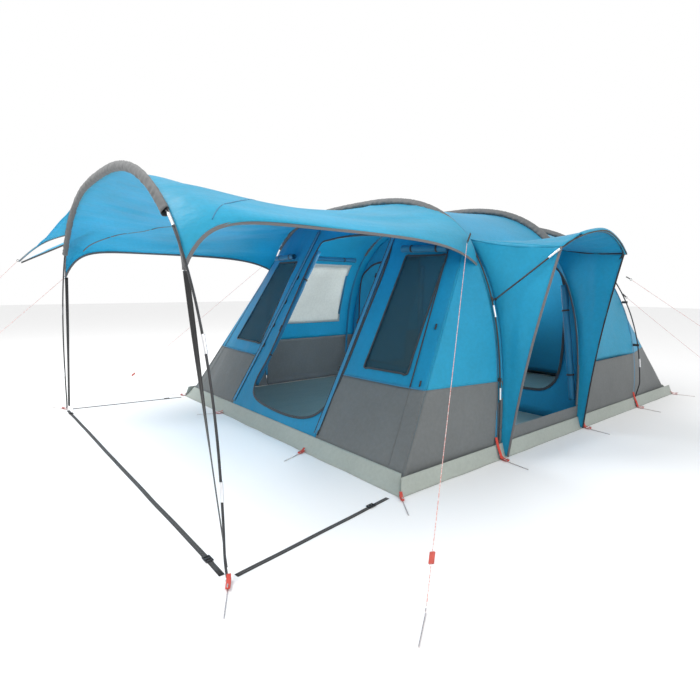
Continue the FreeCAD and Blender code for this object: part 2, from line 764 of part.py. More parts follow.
SIDE_EDGE = BASE + 57.0
REAR_EDGE = REAR_Y + 37.0
FRONT_EDGE = FRONT_Y - 37.0
PEG_PLACES = [
    (BASE + 46.0, FRONT_Y - 28.0, -35), (-BASE - 46.0, FRONT_Y - 28.0, -145),
    (-686.0, FRONT_EDGE, -115), (645.0, FRONT_EDGE, -70),
    (BASE + 46.0, REAR_Y + 10.0, 12), (-BASE - 46.0, REAR_Y + 10.0, 168),
    (500.0, REAR_EDGE, 27), (-500.0, REAR_EDGE, 153),
]
for hoop in (one, two, three):
    PEG_PLACES.append((SIDE_EDGE, hoop.y, -8))
    PEG_PLACES.append((-SIDE_EDGE, hoop.y, -172))
PEG_PLACES.append((FOOT_X + 14.0, CANOPY_Y, -30))
PEG_PLACES.append((-FOOT_X - 14.0, CANOPY_Y, -150))
HOOK_OUT = 40.0
group("base_pegs", [peg(f"base_peg_{i}", Vector(x, y, 0) + heading(a) * HOOK_OUT, heading(a))
                    for i, (x, y, a) in enumerate(PEG_PLACES)])
group("peg_loops", [loop(f"peg_loop_{i}", Vector(x, y, 0), heading(a))
                    for i, (x, y, a) in enumerate(PEG_PLACES)])


# ---------------------------------------------------------------- inner tent
INNER = 62.0
inner_two = two.inset(INNER + SKIN)
inner_three = three_skin.inset(INNER)
DIVIDER_Y = TWO_Y + 52.0


def divider():
    """The bedroom's front wall, with a D-shaped doorway for each bed."""
    outline = inner_two.at(DIVIDER_Y).arch(inner_two.knee, inner_two.knee, 8)
    low_near = Vector(outline[0].x, DIVIDER_Y, FLOOR + 1.5)
    low_far = Vector(outline[-1].x, DIVIDER_Y, FLOOR + 1.5)
    edge = Part.Wire([spline(outline), Part.makeLine(outline[-1], low_far),
                      Part.makeLine(low_far, low_near), Part.makeLine(low_near, outline[0])])
    wall = Part.Face(edge).extrude(Vector(0, CLOTH, 0))
    for sign in SIDES:
        y = DIVIDER_Y - 20.0
        corners = [(1330.0, 1180.0), (1345.0, 520.0), (1240.0, 280.0), (980.0, 235.0), (420.0, 235.0),
                   (330.0, 330.0), (330.0, 1380.0), (420.0, 1470.0), (960.0, 1450.0), (1190.0, 1370.0)]
        wall = wall.cut(prism([Vector(sign * x, y, z) for x, z in corners], Vector(0, 60.0, 0)))
    return wall


feature("bedroom_divider", divider())


def bedroom_cell():
    """The sleeping cabin: a smaller tunnel that slopes down behind the third hoop."""
    sections = []
    for hoop, y in ((inner_two, DIVIDER_Y + 8.0), (inner_three, THREE_Y - 60.0)):
        placed = hoop.at(y)
        sections.append((placed.arch(placed.knee, placed.knee, 8),
                         placed.inset(CLOTH).arch(placed.knee, placed.knee, 8)))
    tunnel = cloth_loft(sections)
    back = EndWall(REAR_Y - INNER - 20.0, inner_three.at(THREE_Y - 56.0), dim("rear_shoulder_x"), BASE - 80.0)
    slope = back.patch(constant(-1.0), constant(1.0), constant(60.0), lambda s: back.top(s) - 12.0, 10)
    return Part.makeCompound([tunnel, slope])


feature("bedroom_cell", bedroom_cell())


# ---------------------------------------------------------------- windows, rolls, toggles
def wall_pane(wall, outline, margin, depth):
    """A thin pane a little larger than its opening, just inside the wall."""
    centre_s = sum(s for s, _ in outline) / len(outline)
    centre_z = sum(z for _, z in outline) / len(outline)
    corners = []
    for s, z in outline:
        wide = margin / BASE * (1 if s > centre_s else -1)
        corners.append((s + wide, z + margin * (1 if z > centre_z else -1)))
    (s0, z0), (s1, z1), (s2, z2), (s3, z3) = corners       # low left, low right, top right, top left
    rows = []
    for share in (0.0, 0.5, 1.0):
        left, right = lerp(s0, s3, share), lerp(s1, s2, share)
        z_left, z_right = lerp(z0, z3, share), lerp(z1, z2, share)
        line = [(lerp(left, right, i / 3.0), lerp(z_left, z_right, i / 3.0)) for i in range(4)]
        rows.append(([wall.point(s, z, depth) for s, z in line],
                     [wall.point(s, z, depth + 2.0) for s, z in line]))
    return cloth_loft(rows)


feature("window_meshes", Part.makeCompound([
    wall_pane(front, NEAR_WINDOW, 18.0, CLOTH + 2.0), wall_pane(front, FAR_WINDOW, 18.0, CLOTH + 2.0)]))


def side_pane():
    rows = []
    for y in (WINDOW_FRONT - 18.0, WINDOW_BACK + 18.0):
        share = (y - ONE_Y) / (TWO_Y - ONE_Y)
        hoop = Hoop(y, BASE, lerp(one_skin.belly, two_skin.belly, share),
                    lerp(one_skin.height, two_skin.height, share),
                    lerp(one_skin.side, two_skin.side, share), two_skin.crown).inset(CLOTH + 17.0)
        rows.append((hoop.leg(WINDOW_LOW - 18, WINDOW_TOP + 18, 5, -1),
                     hoop.inset(2.0).leg(WINDOW_LOW - 18, WINDOW_TOP + 18, 5, -1)))
    return cloth_loft(rows)


feature("side_window_pane", side_pane())


def roll(name, start, end, radius):
    """Rolled cloth: a bar whose ends lie at two points."""
    obj = doc.addObject("Part::Cylinder", name)
    obj.Radius = radius
    obj.Height = (end - start).Length
    obj.Placement = FreeCAD.Placement(start, turned(end - start))
    return obj


def wall_line(wall, s0, z0, s1, z1, depth):
    return wall.point(s0, z0, depth), wall.point(s1, z1, depth)


ROLL = 26.0
ROLL_OUT = -ROLL - 18.0
group("window_cover_rolls", [
    roll("near_cover", *wall_line(front, 0.66, 1440.0, 0.93, 1425.0, ROLL_OUT), ROLL),
    roll("far_cover", *wall_line(front, -0.68, 1435.0, -0.43, 1440.0, ROLL_OUT), ROLL),
])
group("door_rolls", [
    roll("side_door_roll", Vector(two_skin.half_width(260.0) - 48.0, TWO_Y - 50.0, 230.0),
         Vector(two_skin.half_width(1180.0) - 48.0, TWO_Y - 50.0, 1180.0), 34.0),
    roll("front_door_roll", *wall_line(front, -0.30, 300.0, -0.245, 1500.0, 42.0), 30.0),
    roll("near_bed_roll", Vector(268.0, DIVIDER_Y - 34.0, 330.0), Vector(268.0, DIVIDER_Y - 34.0, 1380.0), 28.0),
    roll("far_bed_roll", Vector(-268.0, DIVIDER_Y - 34.0, 330.0), Vector(-268.0, DIVIDER_Y - 34.0, 1380.0), 28.0),
    roll("side_curtain_roll", Vector(-two_skin.half_width(1500.0) + 60.0, WINDOW_FRONT, 1470.0),
         Vector(-two_skin.half_width(1500.0) + 60.0, WINDOW_BACK, 1470.0), 28.0),
])


def toggles():
    """Small toggle bars beside the door and window edges."""
    members = []
    places = [(door_share(door_left, z) + 0.025, z) for z in (620.0, 800.0, 1010.0, 1230.0)]
    places += [(door_share(door_right, z) - 0.02, z) for z in (560.0, 900.0, 1240.0)]
    places += [(0.965, 560.0), (0.965, 900.0), (0.45, 130.0)]
    for number, (s, z) in enumerate(places):
        low, high = wall_line(front, s, z - 16.0, s, z + 16.0, -8.0)
        members.append(roll(f"toggle_{number}", low, high, 5.5))
    return group("toggles", members)


toggles()


# ---------------------------------------------------------------- side awning
PIVOT_X = dim("pivot_x")
PIVOT_Z = dim("pivot_z")
EYE_BACK = 9.0
LEFT_TIP = Vector(1895.0, ONE_Y + 75.0, 1400.0)
CREST = Vector(1915.0, 50.0, 1532.0)
RIGHT_TIP = Vector(1845.0, TWO_Y - 75.0, 1408.0)


def awning_line():
    """Centre line of the bent awning pole from its front eye to its rear eye."""
    start = Vector(PIVOT_X + 5.0, ONE_Y + EYE_BACK, PIVOT_Z + 3.5)
    end = Vector(PIVOT_X + 5.0, TWO_Y - EYE_BACK, PIVOT_Z + 3.5)
    return [
        start, lerp(start, LEFT_TIP, 0.5) + Vector(0, -3, -3), LEFT_TIP,
        lerp(LEFT_TIP, CREST, 0.33) + Vector(6, 0, 34), lerp(LEFT_TIP, CREST, 0.68) + Vector(6, 0, 30), CREST,
        lerp(CREST, RIGHT_TIP, 0.34) + Vector(0, 0, 30), lerp(CREST, RIGHT_TIP, 0.7) + Vector(0, 0, 30), RIGHT_TIP,
        lerp(RIGHT_TIP, end, 0.5) + Vector(0, 3, -3), end,
    ]


def ring_along_y(name, centre, outer, inner, width):
    ring_outer = doc.addObject("Part::Cylinder", name + "_outer")
    ring_outer.Radius, ring_outer.Height = outer, width
    ring_inner = doc.addObject("Part::Cylinder", name + "_inner")
    ring_inner.Radius, ring_inner.Height = inner, width + 4
    turn = turned(Vector(0, 1, 0))
    ring_outer.Placement = FreeCAD.Placement(centre - Vector(0, width / 2, 0), turn)
    ring_inner.Placement = FreeCAD.Placement(centre - Vector(0, width / 2 + 2, 0), turn)
    cut = doc.addObject("Part::Cut", name)
    cut.Base, cut.Tool = ring_outer, ring_inner
    return cut


PIN = 3.0
awning_rod = tube("awning_pole", awning_line(), "Dimensions.pole_radius")
front_eye = ring_along_y("front_eye", Vector(PIVOT_X, ONE_Y + EYE_BACK, PIVOT_Z), 9.0, PIN + 0.05, 7.0)
rear_eye = ring_along_y("rear_eye", Vector(PIVOT_X, TWO_Y - EYE_BACK, PIVOT_Z), 9.0, PIN + 0.05, 7.0)
trim = doc.addObject("Part::MultiFuse", "eye_bores")
bores = []
for name, y in (("front_bore", ONE_Y + EYE_BACK), ("rear_bore", TWO_Y - EYE_BACK)):
    bore = doc.addObject("Part::Cylinder", name)
    bore.Radius, bore.Height = PIN + 0.05, 30.0
    bore.Placement = FreeCAD.Placement(Vector(PIVOT_X, y - 15.0, PIVOT_Z), turned(Vector(0, 1, 0)))
    bores.append(bore)
trim.Shapes = bores
rod_cut = doc.addObject("Part::Cut", "awning_rod_trimmed")
rod_cut.Base, rod_cut.Tool = awning_rod, trim
awning = doc.addObject("Part::MultiFuse", "awning_pole")
awning.Shapes = [rod_cut, front_eye, rear_eye]
keep(awning, "awning_pole")

awning_route = awning_line()
group("awning_ferrules", [
    rod_piece("awning_ferrule_front", lerp(awning_route[1], awning_route[2], 0.8),
              awning_route[2] - awning_route[1], "Dimensions.ferrule_radius", "Dimensions.ferrule_length"),
    rod_piece("awning_ferrule_rear", lerp(awning_route[8], awning_route[9], 0.2),
              awning_route[9] - awning_route[8], "Dimensions.ferrule_radius", "Dimensions.ferrule_length"),
])


def hub(name, hoop, toward):
    """A clamp on the hoop with a pin that the awning pole's eye turns on."""
    x = hoop.half_width(PIVOT_Z)
    low = Vector(hoop.half_width(PIVOT_Z - 14), hoop.y, PIVOT_Z - 14)
    high = Vector(hoop.half_width(PIVOT_Z + 14), hoop.y, PIVOT_Z + 14)
    collar = doc.addObject("Part::Cylinder", name + "_collar")
    collar.Radius, collar.Height = 8.5, (high - low).Length
    collar.Placement = FreeCAD.Placement(low, turned(high - low))
    lug = doc.addObject("Part::Box", name + "_lug")
    lug.Length, lug.Width, lug.Height = PIVOT_X + 5 - x, 6.0, 10.0
    lug.Placement.Base = Vector(x, hoop.y - 3.0, PIVOT_Z - 5.0)
    pin = doc.addObject("Part::Cylinder", name + "_pin")
    pin.Radius, pin.Height = PIN, 18.0
    pin.Placement = FreeCAD.Placement(Vector(PIVOT_X, hoop.y - 2.0 * toward, PIVOT_Z),
                                      turned(Vector(0, toward, 0)))
    fused = doc.addObject("Part::MultiFuse", name)
    fused.Shapes = [collar, lug, pin]
    return fused


group("awning_hubs", [hub("front_hub", one, 1), hub("rear_hub", two, -1)])

HOOD_FRONT = ONE_Y + 62.0
HOOD_BACK = TWO_Y - 62.0


def hood():
    """The awning's roof cloth, from the tent's side over the bent pole."""
    rows = []
    pole_line = [LEFT_TIP, awning_route[3], awning_route[4], CREST, awning_route[6], awning_route[7], RIGHT_TIP]
    lift = Vector(6.0, 0, POLE + 7.0)
    root_x = [one_skin.half_width(1480.0) + 26.0] * len(pole_line)
    root_line = [Vector(x, lerp(HOOD_FRONT, HOOD_BACK, i / 6.0), 1500.0) for i, x in enumerate(root_x)]
    for share in (0.0, 0.35, 0.7, 1.0):
        row = []
        for a, b in zip(root_line, pole_line):
            p = lerp(a, b + lift, share)
            row.append(Vector(p.x, p.y, p.z - 26.0 * math.sin(math.pi * share)))
        rows.append((row, [p - UP * CLOTH for p in row]))
    return cloth_loft(rows)


feature("awning_hood", hood())


def wing(hoop, plane_y, tip, toward):
    """A three-cornered side of the awning, from the hoop's leg to the line from tip to foot."""
    foot = Vector(hoop.foot + 62.0, plane_y, 40.0)
    rows = []
    for share in (0.0, 0.25, 0.5, 0.75, 1.0):
        z = lerp(40.0, 1440.0, share)
        root = Vector(hoop.half_width(z) + 16.0, plane_y, z)
        rim = lerp(foot, Vector(tip.x - 8.0, tip.y + toward * 16.0, tip.z - 30.0), share)
        line = [lerp(root, rim, i / 3.0) for i in range(4)]
        rows.append((line, [p + Vector(0, toward * CLOTH, 0) for p in line]))
    return cloth_loft(rows)


feature("awning_wings", Part.makeCompound([
    wing(one, ONE_Y + 52.0, LEFT_TIP, 1), wing(two, TWO_Y - 52.0, RIGHT_TIP, -1)]))


# ---------------------------------------------------------------- small fittings
CLIP_GAP = 6.5


def pole_clips():
    """Webbing loops that hold the flysheet to the poles."""
    members = []
    places = [(one, one_skin, 545.0), (three, three_skin, 1020.0), (three, three_skin, 610.0)]
    for number, (hoop, skin, z) in enumerate(places):
        for sign in SIDES:
            start = skin.half_width(z) + CLIP_GAP
            end = hoop.half_width(z) + 10.0
            band = doc.addObject("Part::Box", f"clip_band_{number}")
            band.Length = end - start
            band.Width, band.Height = 24.0, 22.0
            base_x = start if sign > 0 else -end
            band.Placement.Base = Vector(base_x, hoop.y - 12.0, z - 11.0)
            members.append(band)
    return group("pole_clips", members)


pole_clips()

GUYS = {
    "near": (Vector(1345.0, -668.0, 1446.0), Vector(2322.0, -2110.0, 22.0)),
    "far": (Vector(-1400.0, -640.0, 1392.0), Vector(-2585.0, -1870.0, 22.0)),
    "rear_side": (Vector(1452.0, THREE_Y + 34.0, 1235.0), Vector(2760.0, 3140.0, 22.0)),
    "rear_back": (Vector(1400.0, THREE_Y + 90.0, 1060.0), Vector(2000.0, 3620.0, 22.0)),
    "wing": (WING_TIP + Vector(-6, -18, -8), Vector(-2760.0, -4060.0, 22.0)),
    "tail": (Vector(-TAIL - 12.0, CANOPY_Y - 10.0, dim("tail_height") - 6), Vector(-2130.0, -3780.0, 22.0)),
}
SAG = 12.0


def guy_points(name):
    """A taut line's route: its top, one point where it sags a little, and its peg."""
    top, foot = GUYS[name]
    return [top, lerp(top, foot, 0.46) - UP * SAG, foot]


def ring_fitting(name, centre, direction):
    """A small ring that a guy line is tied to, its plane holding the line's direction."""
    ring = doc.addObject("Part::Torus", name)
    ring.Radius1, ring.Radius2 = 9.0, 1.8
    side = direction.cross(UP).normalize()
    ring.Placement = FreeCAD.Placement(centre, turned(side))
    return ring


def tab(name, start, end, face):
    """A webbing tab from the cloth to its ring."""
    obj = doc.addObject("Part::Box", name)
    along = end - start
    obj.Length, obj.Width, obj.Height = along.Length, 16.0, 2.0
    x_axis = along.normalize()
    z_axis = (face - x_axis * face.dot(x_axis)).normalize()
    y_axis = z_axis.cross(x_axis)
    obj.Placement = FreeCAD.Placement(start - y_axis * 8.0, FreeCAD.Rotation(x_axis, y_axis, z_axis, "XYZ"))
    return obj


RING_BACK = 13.0
ANCHORS = {
    "near": Vector(1312.0, -590.0, 1520.0),
    "far": Vector(-1340.0, -590.0, 1478.0),
    "rear_side": Vector(1402.0, THREE_Y + 14.0, 1268.0),
    "rear_back": Vector(1374.0, THREE_Y + 36.0, 1100.0),
}


def guy_ring(name):
    top, foot = GUYS[name]
    back = (top - foot).normalize()
    return ring_fitting(f"{name}_ring", top + back * RING_BACK, back)


def guy_tab(name):
    """The webbing tab that ties a guy's ring to the tent."""
    top, foot = GUYS[name]
    ring = top + (top - foot).normalize() * RING_BACK
    pull = (ring - ANCHORS[name]).normalize()
    return tab(f"{name}_tab", ANCHORS[name], ring - pull * 12.0, Vector(ring.x, 0, 0))


TENT_GUYS = ("near", "far", "rear_side", "rear_back")
group("guy_rings", [guy_ring(name) for name in TENT_GUYS] + [guy_tab(name) for name in TENT_GUYS])
group("canopy_guy_rings", [guy_ring(name) for name in ("wing", "tail")])
for name in GUYS:
    points = guy_points(name)
    label = f"guy_{name}"
    keep(tube(label, points, "Dimensions.guy_radius"), label)


def guy_peg(name):
    top, foot = GUYS[name]
    inward = Vector(foot.x - top.x, foot.y - top.y, 0).normalize()
    return peg(f"guy_peg_{name}", Vector(foot.x, foot.y, 0) + inward * 8.0, inward)


group("guy_pegs", [guy_peg(name) for name in GUYS])


def runner(name):
    """A plastic tensioner: a plate with a bore that the line runs through."""
    points = guy_points(name)
    along = (points[1] - points[2]).normalize()
    centre = points[2] + along * 150.0
    body = doc.addObject("PartDesign::Body", f"runner_{name}_body")
    plane = [f for f in body.Origin.OriginFeatures if f.Role == "XY_Plane"][0]
    outline = body.newObject("Sketcher::SketchObject", f"runner_{name}_outline")
    outline.AttachmentSupport = [(plane, "")]
    outline.MapMode = "FlatFace"
    half_w, half_t = dim("runner_width") / 2.0, dim("runner_thick") / 2.0
    ring = [Vector(-half_w, -half_t, 0), Vector(half_w, -half_t, 0),
            Vector(half_w, half_t, 0), Vector(-half_w, half_t, 0)]
    for a, b in zip(ring, ring[1:] + ring[:1]):
        outline.addGeometry(Part.LineSegment(a, b), False)
    outline.addGeometry(Part.Circle(Vector(0, 0, 0), UP, dim("guy_radius") + 0.9), False)
    outline.addGeometry(Part.Circle(Vector(7.0, 0, 0), UP, dim("guy_radius") + 0.9), False)
    pad = body.newObject("PartDesign::Pad", f"runner_{name}_pad")
    pad.Profile = outline
    pad.setExpression("Length", "Dimensions.runner_length")
    body.Placement = FreeCAD.Placement(centre, turned(along))
    return keep(body, f"runner_{name}")


for name in GUYS:
    runner(name)


def zip_slider(label, centre, along, outward):
    """A zip slider with its pull tab."""
    turn = FreeCAD.Rotation(outward, along.cross(outward), along, "ZXY")
    slider = doc.addObject("Part::Box", label + "_slider")
    slider.Length, slider.Width, slider.Height = 9.0, 12.0, 16.0
    slider.Placement = FreeCAD.Placement(centre + turn.multVec(Vector(-4.5, -6.0, -8.0)), turn)
    pull = doc.addObject("Part::Box", label + "_pull")
    pull.Length, pull.Width, pull.Height = 2.5, 9.0, 44.0
    pull.Placement = FreeCAD.Placement(centre + turn.multVec(Vector(2.2, -4.5, -48.0)), turn)
    fused = doc.addObject("Part::Fuse", label)
    fused.Base, fused.Tool = slider, pull
    return keep(fused, label)


ZIP_S, ZIP_LOW, ZIP_HIGH = -0.232, 800.0, 1400.0
zip_low, zip_high = wall_line(front, ZIP_S, ZIP_LOW, ZIP_S + 0.008, ZIP_HIGH, -9.0)
zip_slider("front_zip_slider", zip_low, (zip_high - zip_low).normalize(), Vector(0, -1, 0.5).normalize())
side_low, side_high = (Vector(one_skin.half_width(z) - 2.0, DOOR_FRONT + 15.0, z) for z in (330.0, 880.0))
zip_slider("side_zip_slider", side_low, (side_high - side_low).normalize(), Vector(1, 0, 0))

doc.recompute()


# ---------------------------------------------------------------- check and write
for obj in doc.Objects:
    if "Invalid" in obj.State or "Error" in obj.State:
        raise SystemExit(f"{obj.Label} failed: {obj.State}")
for obj in nodes:
    if obj.Shape.isNull() or not obj.Shape.isValid() or obj.Shape.Volume <= 0:
        raise SystemExit(f"{obj.Label} has no valid shape")

os.makedirs("parts", exist_ok=True)
for obj in nodes:
    obj.Shape.exportStep(f"parts/{obj.Label}.step")

low = Vector(1e9, 1e9, 1e9)
high = Vector(-1e9, -1e9, -1e9)
for obj in nodes:
    if obj.Label.startswith(("guy_", "runner_")) and obj.Label != "guy_rings":
        continue
    box = obj.Shape.optimalBoundingBox()
    low = Vector(min(low.x, box.XMin), min(low.y, box.YMin), min(low.z, box.ZMin))
    high = Vector(max(high.x, box.XMax), max(high.y, box.YMax), max(high.z, box.ZMax))
print("nodes", len(nodes), "box without guy lines", low, high)
for name in GUYS:
    points = guy_points(name)
    turn = (points[1] - points[0]).getAngle(points[2] - points[1])
    run = min((points[1] - points[0]).Length, (points[2] - points[1]).Length)
    print("guy", name, "length", round(sum((b - a).Length for a, b in zip(points, points[1:]))),
          "radius", round(0.45 * run / math.tan(turn / 2)))
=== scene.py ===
"""Looks of the tunnel tent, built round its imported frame. Metres, +Z up, +X the side with the awning."""
import math

import bmesh
import bpy
from mathutils import Matrix, Vector, noise


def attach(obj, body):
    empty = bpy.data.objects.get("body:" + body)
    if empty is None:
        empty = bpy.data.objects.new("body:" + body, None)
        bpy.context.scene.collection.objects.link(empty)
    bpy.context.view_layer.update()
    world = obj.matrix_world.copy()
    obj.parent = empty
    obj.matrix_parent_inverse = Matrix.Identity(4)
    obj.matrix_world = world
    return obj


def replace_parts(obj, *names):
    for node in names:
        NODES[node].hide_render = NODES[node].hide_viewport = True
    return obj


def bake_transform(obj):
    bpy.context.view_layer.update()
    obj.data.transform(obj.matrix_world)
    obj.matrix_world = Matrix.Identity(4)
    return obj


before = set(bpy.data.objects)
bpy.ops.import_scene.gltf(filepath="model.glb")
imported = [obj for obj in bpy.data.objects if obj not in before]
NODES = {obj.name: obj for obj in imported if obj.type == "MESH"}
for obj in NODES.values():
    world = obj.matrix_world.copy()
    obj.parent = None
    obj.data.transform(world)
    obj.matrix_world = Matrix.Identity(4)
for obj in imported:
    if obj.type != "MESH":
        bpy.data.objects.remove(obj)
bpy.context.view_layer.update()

UP = Vector((0, 0, 1))
SIDES = (1, -1)

# ---------------------------------------------------------------- sizes, as the frame has them
CANOPY_Y, FRONT_Y, ONE_Y, TWO_Y, THREE_Y, REAR_Y = -2.585, -1.475, -0.545, 0.655, 1.765, 2.725
BASE = 1.55                 # half width of the floor
CANOPY_FOOT = 1.702
SEAM = 0.530                # between the grey lower band and the blue cloth
FLAP = 0.100                # height of the mud flap
BAND_LOW = 0.006
EDGE_HALF = 1.350           # half width of the canopy at its free edges
CANOPY_HEIGHT, ONE_HEIGHT = 1.841, 1.868
SHOULDER, REAR_SHOULDER = 1.250, 1.150
DOOR_LOW, DOOR_TOP = 0.190, 1.420
DOOR_FRONT, DOOR_BACK = ONE_Y + 0.075, TWO_Y - 0.075
WINDOW_FRONT, WINDOW_BACK, WINDOW_LOW, WINDOW_TOP = ONE_Y + 0.230, TWO_Y - 0.170, 0.730, 1.400
SKIN_GAP = 0.016
CLOTH_THICK = 0.0012


def vec(x, y, z):
    return Vector((x, y, z))


def lerp(a, b, share):
    return a + (b - a) * share


def smooth(share):
    share = max(0.0, min(1.0, share))
    return share * share * (3.0 - 2.0 * share)


# ---------------------------------------------------------------- camera, light, floor
def camera():
    """The camera at the height of a child's eyes, off the near front corner."""
    yaw, pitch, roll = 0.882, 0.131, 0.006
    ahead = vec(-math.sin(yaw) * math.cos(pitch), math.cos(yaw) * math.cos(pitch), -math.sin(pitch))
    level = vec(math.cos(yaw), math.sin(yaw), 0)
    top = level.cross(ahead)
    right = level * math.cos(roll) + top * math.sin(roll)
    over = top * math.cos(roll) - level * math.sin(roll)
    data = bpy.data.cameras.new("camera")
    data.lens, data.sensor_width = 24.83, 36.0
    data.clip_end = 100.0
    obj = bpy.data.objects.new("camera", data)
    turn = Matrix((right, over, -ahead)).transposed().to_4x4()
    obj.matrix_world = Matrix.Translation((3.379, -3.343, 1.159)) @ turn
    bpy.context.scene.collection.objects.link(obj)
    bpy.context.scene.camera = obj


def lamp(name, kind, place, size, power, target=None):
    data = bpy.data.lights.new(name, kind)
    data.energy = power
    if kind == "AREA":
        data.size = size
    else:
        data.shadow_soft_size = size
    obj = bpy.data.objects.new(name, data)
    obj.location = place
    if target is not None:
        obj.rotation_euler = (Vector(target) - Vector(place)).to_track_quat("-Z", "Y").to_euler()
    bpy.context.scene.collection.objects.link(obj)


def studio():
    bpy.context.scene.view_settings.view_transform = "Standard"
    world = bpy.data.worlds.new("studio")
    bpy.context.scene.world = world
    world.use_nodes = True
    world.node_tree.nodes["Background"].inputs["Color"].default_value = (1.0, 1.0, 1.0, 1.0)
    world.node_tree.nodes["Background"].inputs["Strength"].default_value = 1.0
    lamp("key", "AREA", (-2.0, -4.5, 7.0), 4.0, 420.0, (0, -0.5, 0.6))
    lamp("fill", "AREA", (7.0, -2.0, 3.5), 4.0, 110.0, (0, 0.3, 0.8))
    lamp("living_glow", "POINT", (0.1, -0.2, 1.25), 0.35, 34.0)
    lamp("bedroom_glow", "POINT", (0.1, 1.5, 1.05), 0.35, 30.0)
    bpy.ops.mesh.primitive_plane_add(size=60.0, location=(0, 0, -0.0005))
    floor = bpy.context.object
    floor.name = "studio_floor"
    floor.data.materials.append(plain("studio_floor", (0.86, 0.86, 0.86), 0.9))


# ---------------------------------------------------------------- materials
class Nodes:
    """A material's node tree, with short calls for the nodes used here."""

    def __init__(self, name):
        self.material = bpy.data.materials.new(name)
        self.material.use_nodes = True
        self.tree = self.material.node_tree
        self.shader = self.tree.nodes["Principled BSDF"]
        self.output = self.tree.nodes["Material Output"]

    def add(self, kind, **settings):
        node = self.tree.nodes.new(kind)
        for key, value in settings.items():
            setattr(node, key, value)
        return node

    def link(self, source, target):
        self.tree.links.new(source, target)

    def coordinates(self, kind="Object", scale=(1, 1, 1)):
        place = self.add("ShaderNodeTexCoord")
        mapping = self.add("ShaderNodeMapping")
        mapping.inputs["Scale"].default_value = scale
        self.link(place.outputs[kind], mapping.inputs["Vector"])
        return mapping.outputs["Vector"]

    def noise(self, where, scale, detail=3.0, rough=0.55):
        node = self.add("ShaderNodeTexNoise")
        node.inputs["Scale"].default_value = scale
        node.inputs["Detail"].default_value = detail
        node.inputs["Roughness"].default_value = rough
        self.link(where, node.inputs["Vector"])
        return node.outputs["Fac"]

    def wave(self, where, scale, axis):
        node = self.add("ShaderNodeTexWave", wave_type="BANDS")
        node.bands_direction = axis
        node.inputs["Scale"].default_value = scale
        self.link(where, node.inputs["Vector"])
        return node.outputs["Fac"]

    def ramp(self, value, stops):
        node = self.add("ShaderNodeValToRGB")
        for stop, (place, colour) in zip(node.color_ramp.elements, stops):
            stop.position, stop.color = place, (*colour, 1.0)
        self.link(value, node.inputs["Fac"])
        return node.outputs["Color"]

    def maths(self, operation, first, second):
        node = self.add("ShaderNodeMath", operation=operation)
        for socket, value in zip(node.inputs, (first, second)):
            if isinstance(value, (int, float)):
                socket.default_value = value
            else:
                self.link(value, socket)
        return node.outputs["Value"]

    def multiply(self, first, second):
        node = self.add("ShaderNodeMix", data_type="RGBA", blend_type="MULTIPLY")
        node.inputs["Factor"].default_value = 1.0
        self.link(first, node.inputs["A"])
        self.link(second, node.inputs["B"])
        return node.outputs["Result"]

    def bump(self, height, strength, distance, under=None):
        node = self.add("ShaderNodeBump")
        node.inputs["Strength"].default_value = strength
        node.inputs["Distance"].default_value = distance
        self.link(height, node.inputs["Height"])
        if under is not None:
            self.link(under, node.inputs["Normal"])
        return node.outputs["Normal"]


def shade(colour, factor):
    return tuple(min(1.0, c * factor) for c in colour)


def plain(name, colour, rough):
    m = Nodes(name)
    m.shader.inputs["Base Color"].default_value = (*colour, 1.0)
    m.shader.inputs["Roughness"].default_value = rough
    return m.material


def coated_cloth(name, colour, through=0.25, rough=0.5, weave=1.0, alpha=1.0,
                 grain=(1.0, 0.55, 1.0), creased=0.32):
    """Coated ripstop: faint colour drift, creases, a fine weave, and light that comes through."""
    m = Nodes(name)
    where = m.coordinates()
    drift = m.ramp(m.noise(where, 1.7, 4.0), [(0.3, shade(colour, 0.90)), (0.7, shade(colour, 1.08))])
    fine = m.ramp(m.noise(where, 45.0, 3.0), [(0.35, (0.93, 0.93, 0.93)), (0.65, (1, 1, 1))])
    tint = m.multiply(drift, fine)
    m.link(tint, m.shader.inputs["Base Color"])
    m.shader.inputs["Roughness"].default_value = rough
    m.shader.inputs["Sheen Weight"].default_value = 0.15
    m.shader.inputs["Sheen Roughness"].default_value = 0.45
    m.shader.inputs["Specular IOR Level"].default_value = 0.38
    m.shader.inputs["Alpha"].default_value = alpha
    crease = m.noise(m.coordinates(scale=grain), 9.0, 7.0, 0.62)
    threads = m.maths("ADD", m.wave(where, 150.0, "Y"), m.wave(where, 150.0, "DIAGONAL"))
    normal = m.bump(crease, creased, 0.012)
    normal = m.bump(threads, 0.10 * weave, 0.0006, normal)
    m.link(normal, m.shader.inputs["Normal"])
    if through > 0:
        glow = m.add("ShaderNodeBsdfTranslucent")
        m.link(tint, glow.inputs["Color"])
        m.link(normal, glow.inputs["Normal"])
        mix = m.add("ShaderNodeMixShader")
        mix.inputs["Fac"].default_value = through
        m.link(m.shader.outputs["BSDF"], mix.inputs[1])
        m.link(glow.outputs["BSDF"], mix.inputs[2])
        m.link(mix.outputs["Shader"], m.output.inputs["Surface"])
    return m.material


